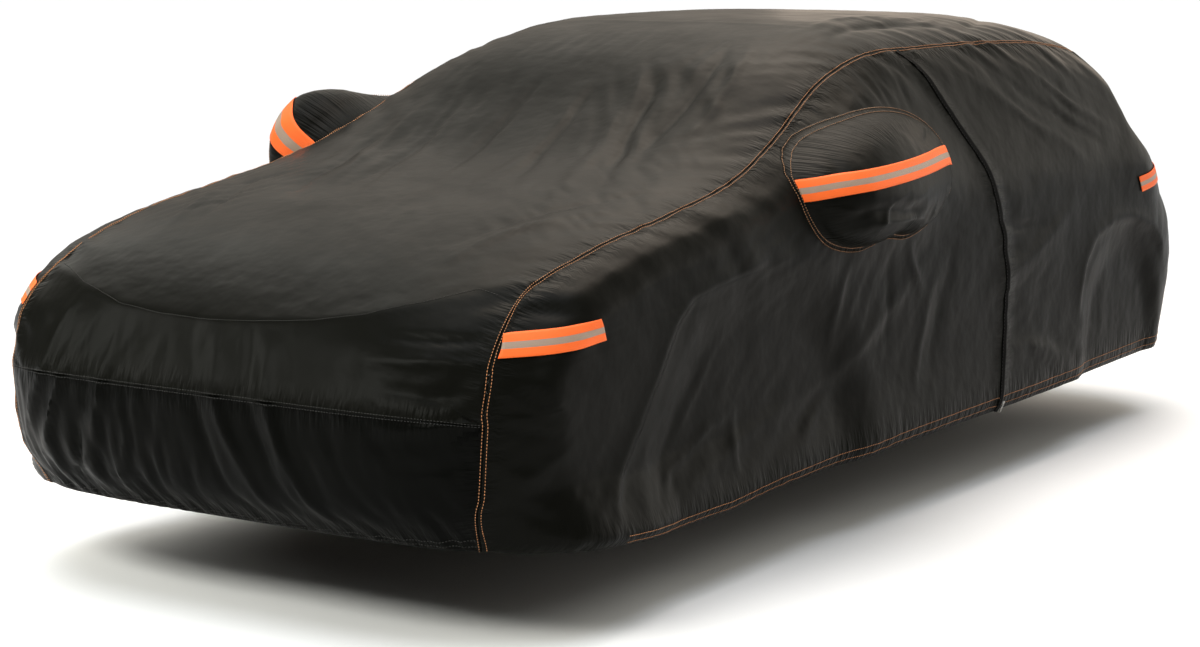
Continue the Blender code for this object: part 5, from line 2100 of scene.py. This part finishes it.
WARM, NEUTRAL = (1.0, 0.82, 0.66), (1.0, 1.0, 0.93)
GLOWS = (
    Glow("low behind", (0.50, 0.86, 0.08), 2.75, (1.0, 0.95, 0.86)),
    Glow("high behind", (-0.36, 0.51, 0.78), 2.15, NEUTRAL),
    Glow("behind", (-0.48, 0.76, 0.43), 0.74, WARM),
)
SOFTBOXES = (
    Softbox("over the roof", (0.0, 0.3, 2.2), (0.0, 0.3, 0.0), 2.6, 4.0, 116, WARM),
    Softbox("before the nose", (-0.4, -5.2, 1.2), (0.0, -2.7, -0.8), 2.4, 1.2, 98, NEUTRAL),
    Softbox("by the far corner", (-2.6, -4.2, 0.4), (-0.4, -2.7, -0.9), 1.2, 1.6, 39, NEUTRAL),
    Softbox("on the right", (-3.2, -0.8, 1.6), (-0.6, -0.8, -0.4), 1.2, 4.0, 22, NEUTRAL),
    Softbox("behind the tail", (-1.0, 4.6, 0.6), (0.0, 1.6, -0.3), 3.0, 1.2, 17, WARM),
    Softbox("before the wing", (3.0, -2.8, 1.2), (0.8, -2.0, -0.5), 1.2, 2.0, 20, NEUTRAL),
)


@dataclass
class Studio:
    """A pale floor, soft light from above and the camera."""

    camera_place: tuple[float, float, float] = (4.7512, -8.0375, 0.3685)
    camera_turn: float = 0.5961     # about the vertical, in radians
    camera_tip: float = 0.1519      # below the horizontal, in radians
    lens: float = 82.85
    floor_size: float = 160.0
    floor_colour: tuple[float, float, float] = (0.92, 0.92, 0.92)
    glow_power: float = 8.0         # how narrow the bright parts of the sky are
    sun: float = 2.1                # keeps the floor white far from the lamps
    sun_spread: float = 50.0        # degrees across
    sun_colour: tuple[float, float, float] = (0.90, 0.94, 1.0)
    far_end: float = 400.0          # how far the camera sees

    def build(self) -> None:
        """Make the floor, the lights and the camera."""
        self._floor()
        self._sky()
        self._softboxes()
        self._camera()
        bpy.context.scene.view_settings.view_transform = "Standard"

    def _floor(self) -> None:
        """Lay the floor under the covered shape."""
        half = self.floor_size / 2
        mesh = bpy.data.meshes.new("floor")
        mesh.from_pydata([(-half, -half, GROUND), (half, -half, GROUND), (half, half, GROUND),
                          (-half, half, GROUND)], [], [(0, 1, 2, 3)])
        floor = bpy.data.objects.new("floor", mesh)
        bpy.context.scene.collection.objects.link(floor)
        shader = Shader("floor_paint")
        for socket, value in (("Base Color", (*self.floor_colour, 1)), ("Roughness", 1.0),
                              ("Specular IOR Level", 0.0)):
            shader.surface.inputs[socket].default_value = value
        dress(floor, shader.material)

    def _sky(self) -> None:
        """Bright parts of the sky. What shows behind the floor is white."""
        world = bpy.data.worlds.new("studio")
        world.use_nodes = True
        bpy.context.scene.world = world
        tree = world.node_tree
        tree.nodes.clear()
        add, link = tree.nodes.new, tree.links.new

        def step(kind: str, operation: str, first: Any, second: Any, second_input: Any = 1) -> bpy.types.Node:
            """Add a node of mathematics that is fed by others' sockets or by values."""
            node = add(kind)
            node.operation = operation
            for socket, value in ((node.inputs[0], first), (node.inputs[second_input], second)):
                if isinstance(value, bpy.types.NodeSocket):
                    link(value, socket)
                else:
                    socket.default_value = value
            return node

        place = add("ShaderNodeTexCoord").outputs["Generated"]
        total = None
        for glow in GLOWS:
            facing = step("ShaderNodeVectorMath", "DOT_PRODUCT", place, Vector(glow.toward).normalized())
            above = step("ShaderNodeMath", "MAXIMUM", facing.outputs["Value"], 0.0)
            raised = step("ShaderNodeMath", "POWER", above.outputs[0], self.glow_power)
            light = step("ShaderNodeVectorMath", "SCALE", Vector(glow.colour) * glow.strength, raised.outputs[0],
                         "Scale")
            if total is not None:
                light = step("ShaderNodeVectorMath", "ADD", total.outputs[0], light.outputs[0])
            total = light
        soft, white, mixed = add("ShaderNodeBackground"), add("ShaderNodeBackground"), add("ShaderNodeMixShader")
        link(total.outputs[0], soft.inputs["Color"])
        white.inputs["Color"].default_value = (1, 1, 1, 1)
        rays = add("ShaderNodeLightPath")
        link(rays.outputs["Is Camera Ray"], mixed.inputs["Fac"])
        link(soft.outputs[0], mixed.inputs[1])
        link(white.outputs[0], mixed.inputs[2])
        out = add("ShaderNodeOutputWorld")
        link(mixed.outputs[0], out.inputs["Surface"])

    def _softboxes(self) -> None:
        """Hang the lamps. They light the cover and aren't seen."""
        sun = bpy.data.lights.new("overhead", "SUN")
        sun.energy, sun.angle, sun.color = self.sun, math.radians(self.sun_spread), self.sun_colour
        bpy.context.scene.collection.objects.link(bpy.data.objects.new("overhead", sun))
        for box in SOFTBOXES:
            name = f"lamp_{box.name.replace(' ', '_')}"
            light = bpy.data.lights.new(name, "AREA")
            light.shape = "RECTANGLE"
            light.size, light.size_y = box.width, box.length
            light.energy, light.color = box.power, box.colour
            lamp = bpy.data.objects.new(name, light)
            lamp.location = box.place
            lamp.rotation_euler = (Vector(box.aim) - Vector(box.place)).to_track_quat("-Z", "Y").to_euler()
            lamp.visible_camera = False
            bpy.context.scene.collection.objects.link(lamp)

    def _camera(self) -> None:
        """Stand the camera where the photograph was taken from."""
        data = bpy.data.cameras.new("camera")
        data.lens = self.lens
        data.clip_end = self.far_end
        camera = bpy.data.objects.new("camera", data)
        camera.location = self.camera_place
        camera.rotation_euler = Euler((math.pi / 2 - self.camera_tip, 0, self.camera_turn))
        bpy.context.scene.collection.objects.link(camera)
        bpy.context.scene.camera = camera


def main() -> None:
    """Build the cover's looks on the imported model."""
    logging.basicConfig(level=logging.INFO, format="%(message)s")
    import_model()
    shop = Workshop(
        form=CoverForm(),
        cloth=ClothFinish().build(),
        # The front skirt's cloth is a darker copy of the cover's cloth: partly a darker fabric, partly painted shade
        # for its low, downward-facing place.
        skirt_cloth=ClothFinish("skirt_cloth", (0.0014, 0.0015, 0.0012), (0.0022, 0.0023, 0.0018),
                                specular=0.027).build(),
        tape=TapeFinish().build(),
        orange_thread=ThreadFinish("orange_thread", (0.58, 0.26, 0.11)).build(),
        pale_thread=ThreadFinish("pale_thread", (0.46, 0.24, 0.12)).build(),
        dark_thread=ThreadFinish("dark_thread", (0.030, 0.029, 0.026)).build(),
        zip_tape=ZipFinish().build(),
        metal=MetalFinish().build(),
        stitches=StitchTree(),
    )
    Studio().build()
    TopPanel(shop).build()
    for side in Side:
        cloth, zip_column = SidePanels(shop, side).build()
        pocket = MirrorPocket(shop, side).build(cloth)
        ReflectiveStrip(shop, side, MIRROR_STRIPS[side]).build(pocket)
        for line in FLAT_STRIPS:
            ReflectiveStrip(shop, side, line).build(cloth)
        if side is Side.LEFT:
            SideZip(shop).build(cloth, zip_column)


if __name__ == "__main__":
    main()
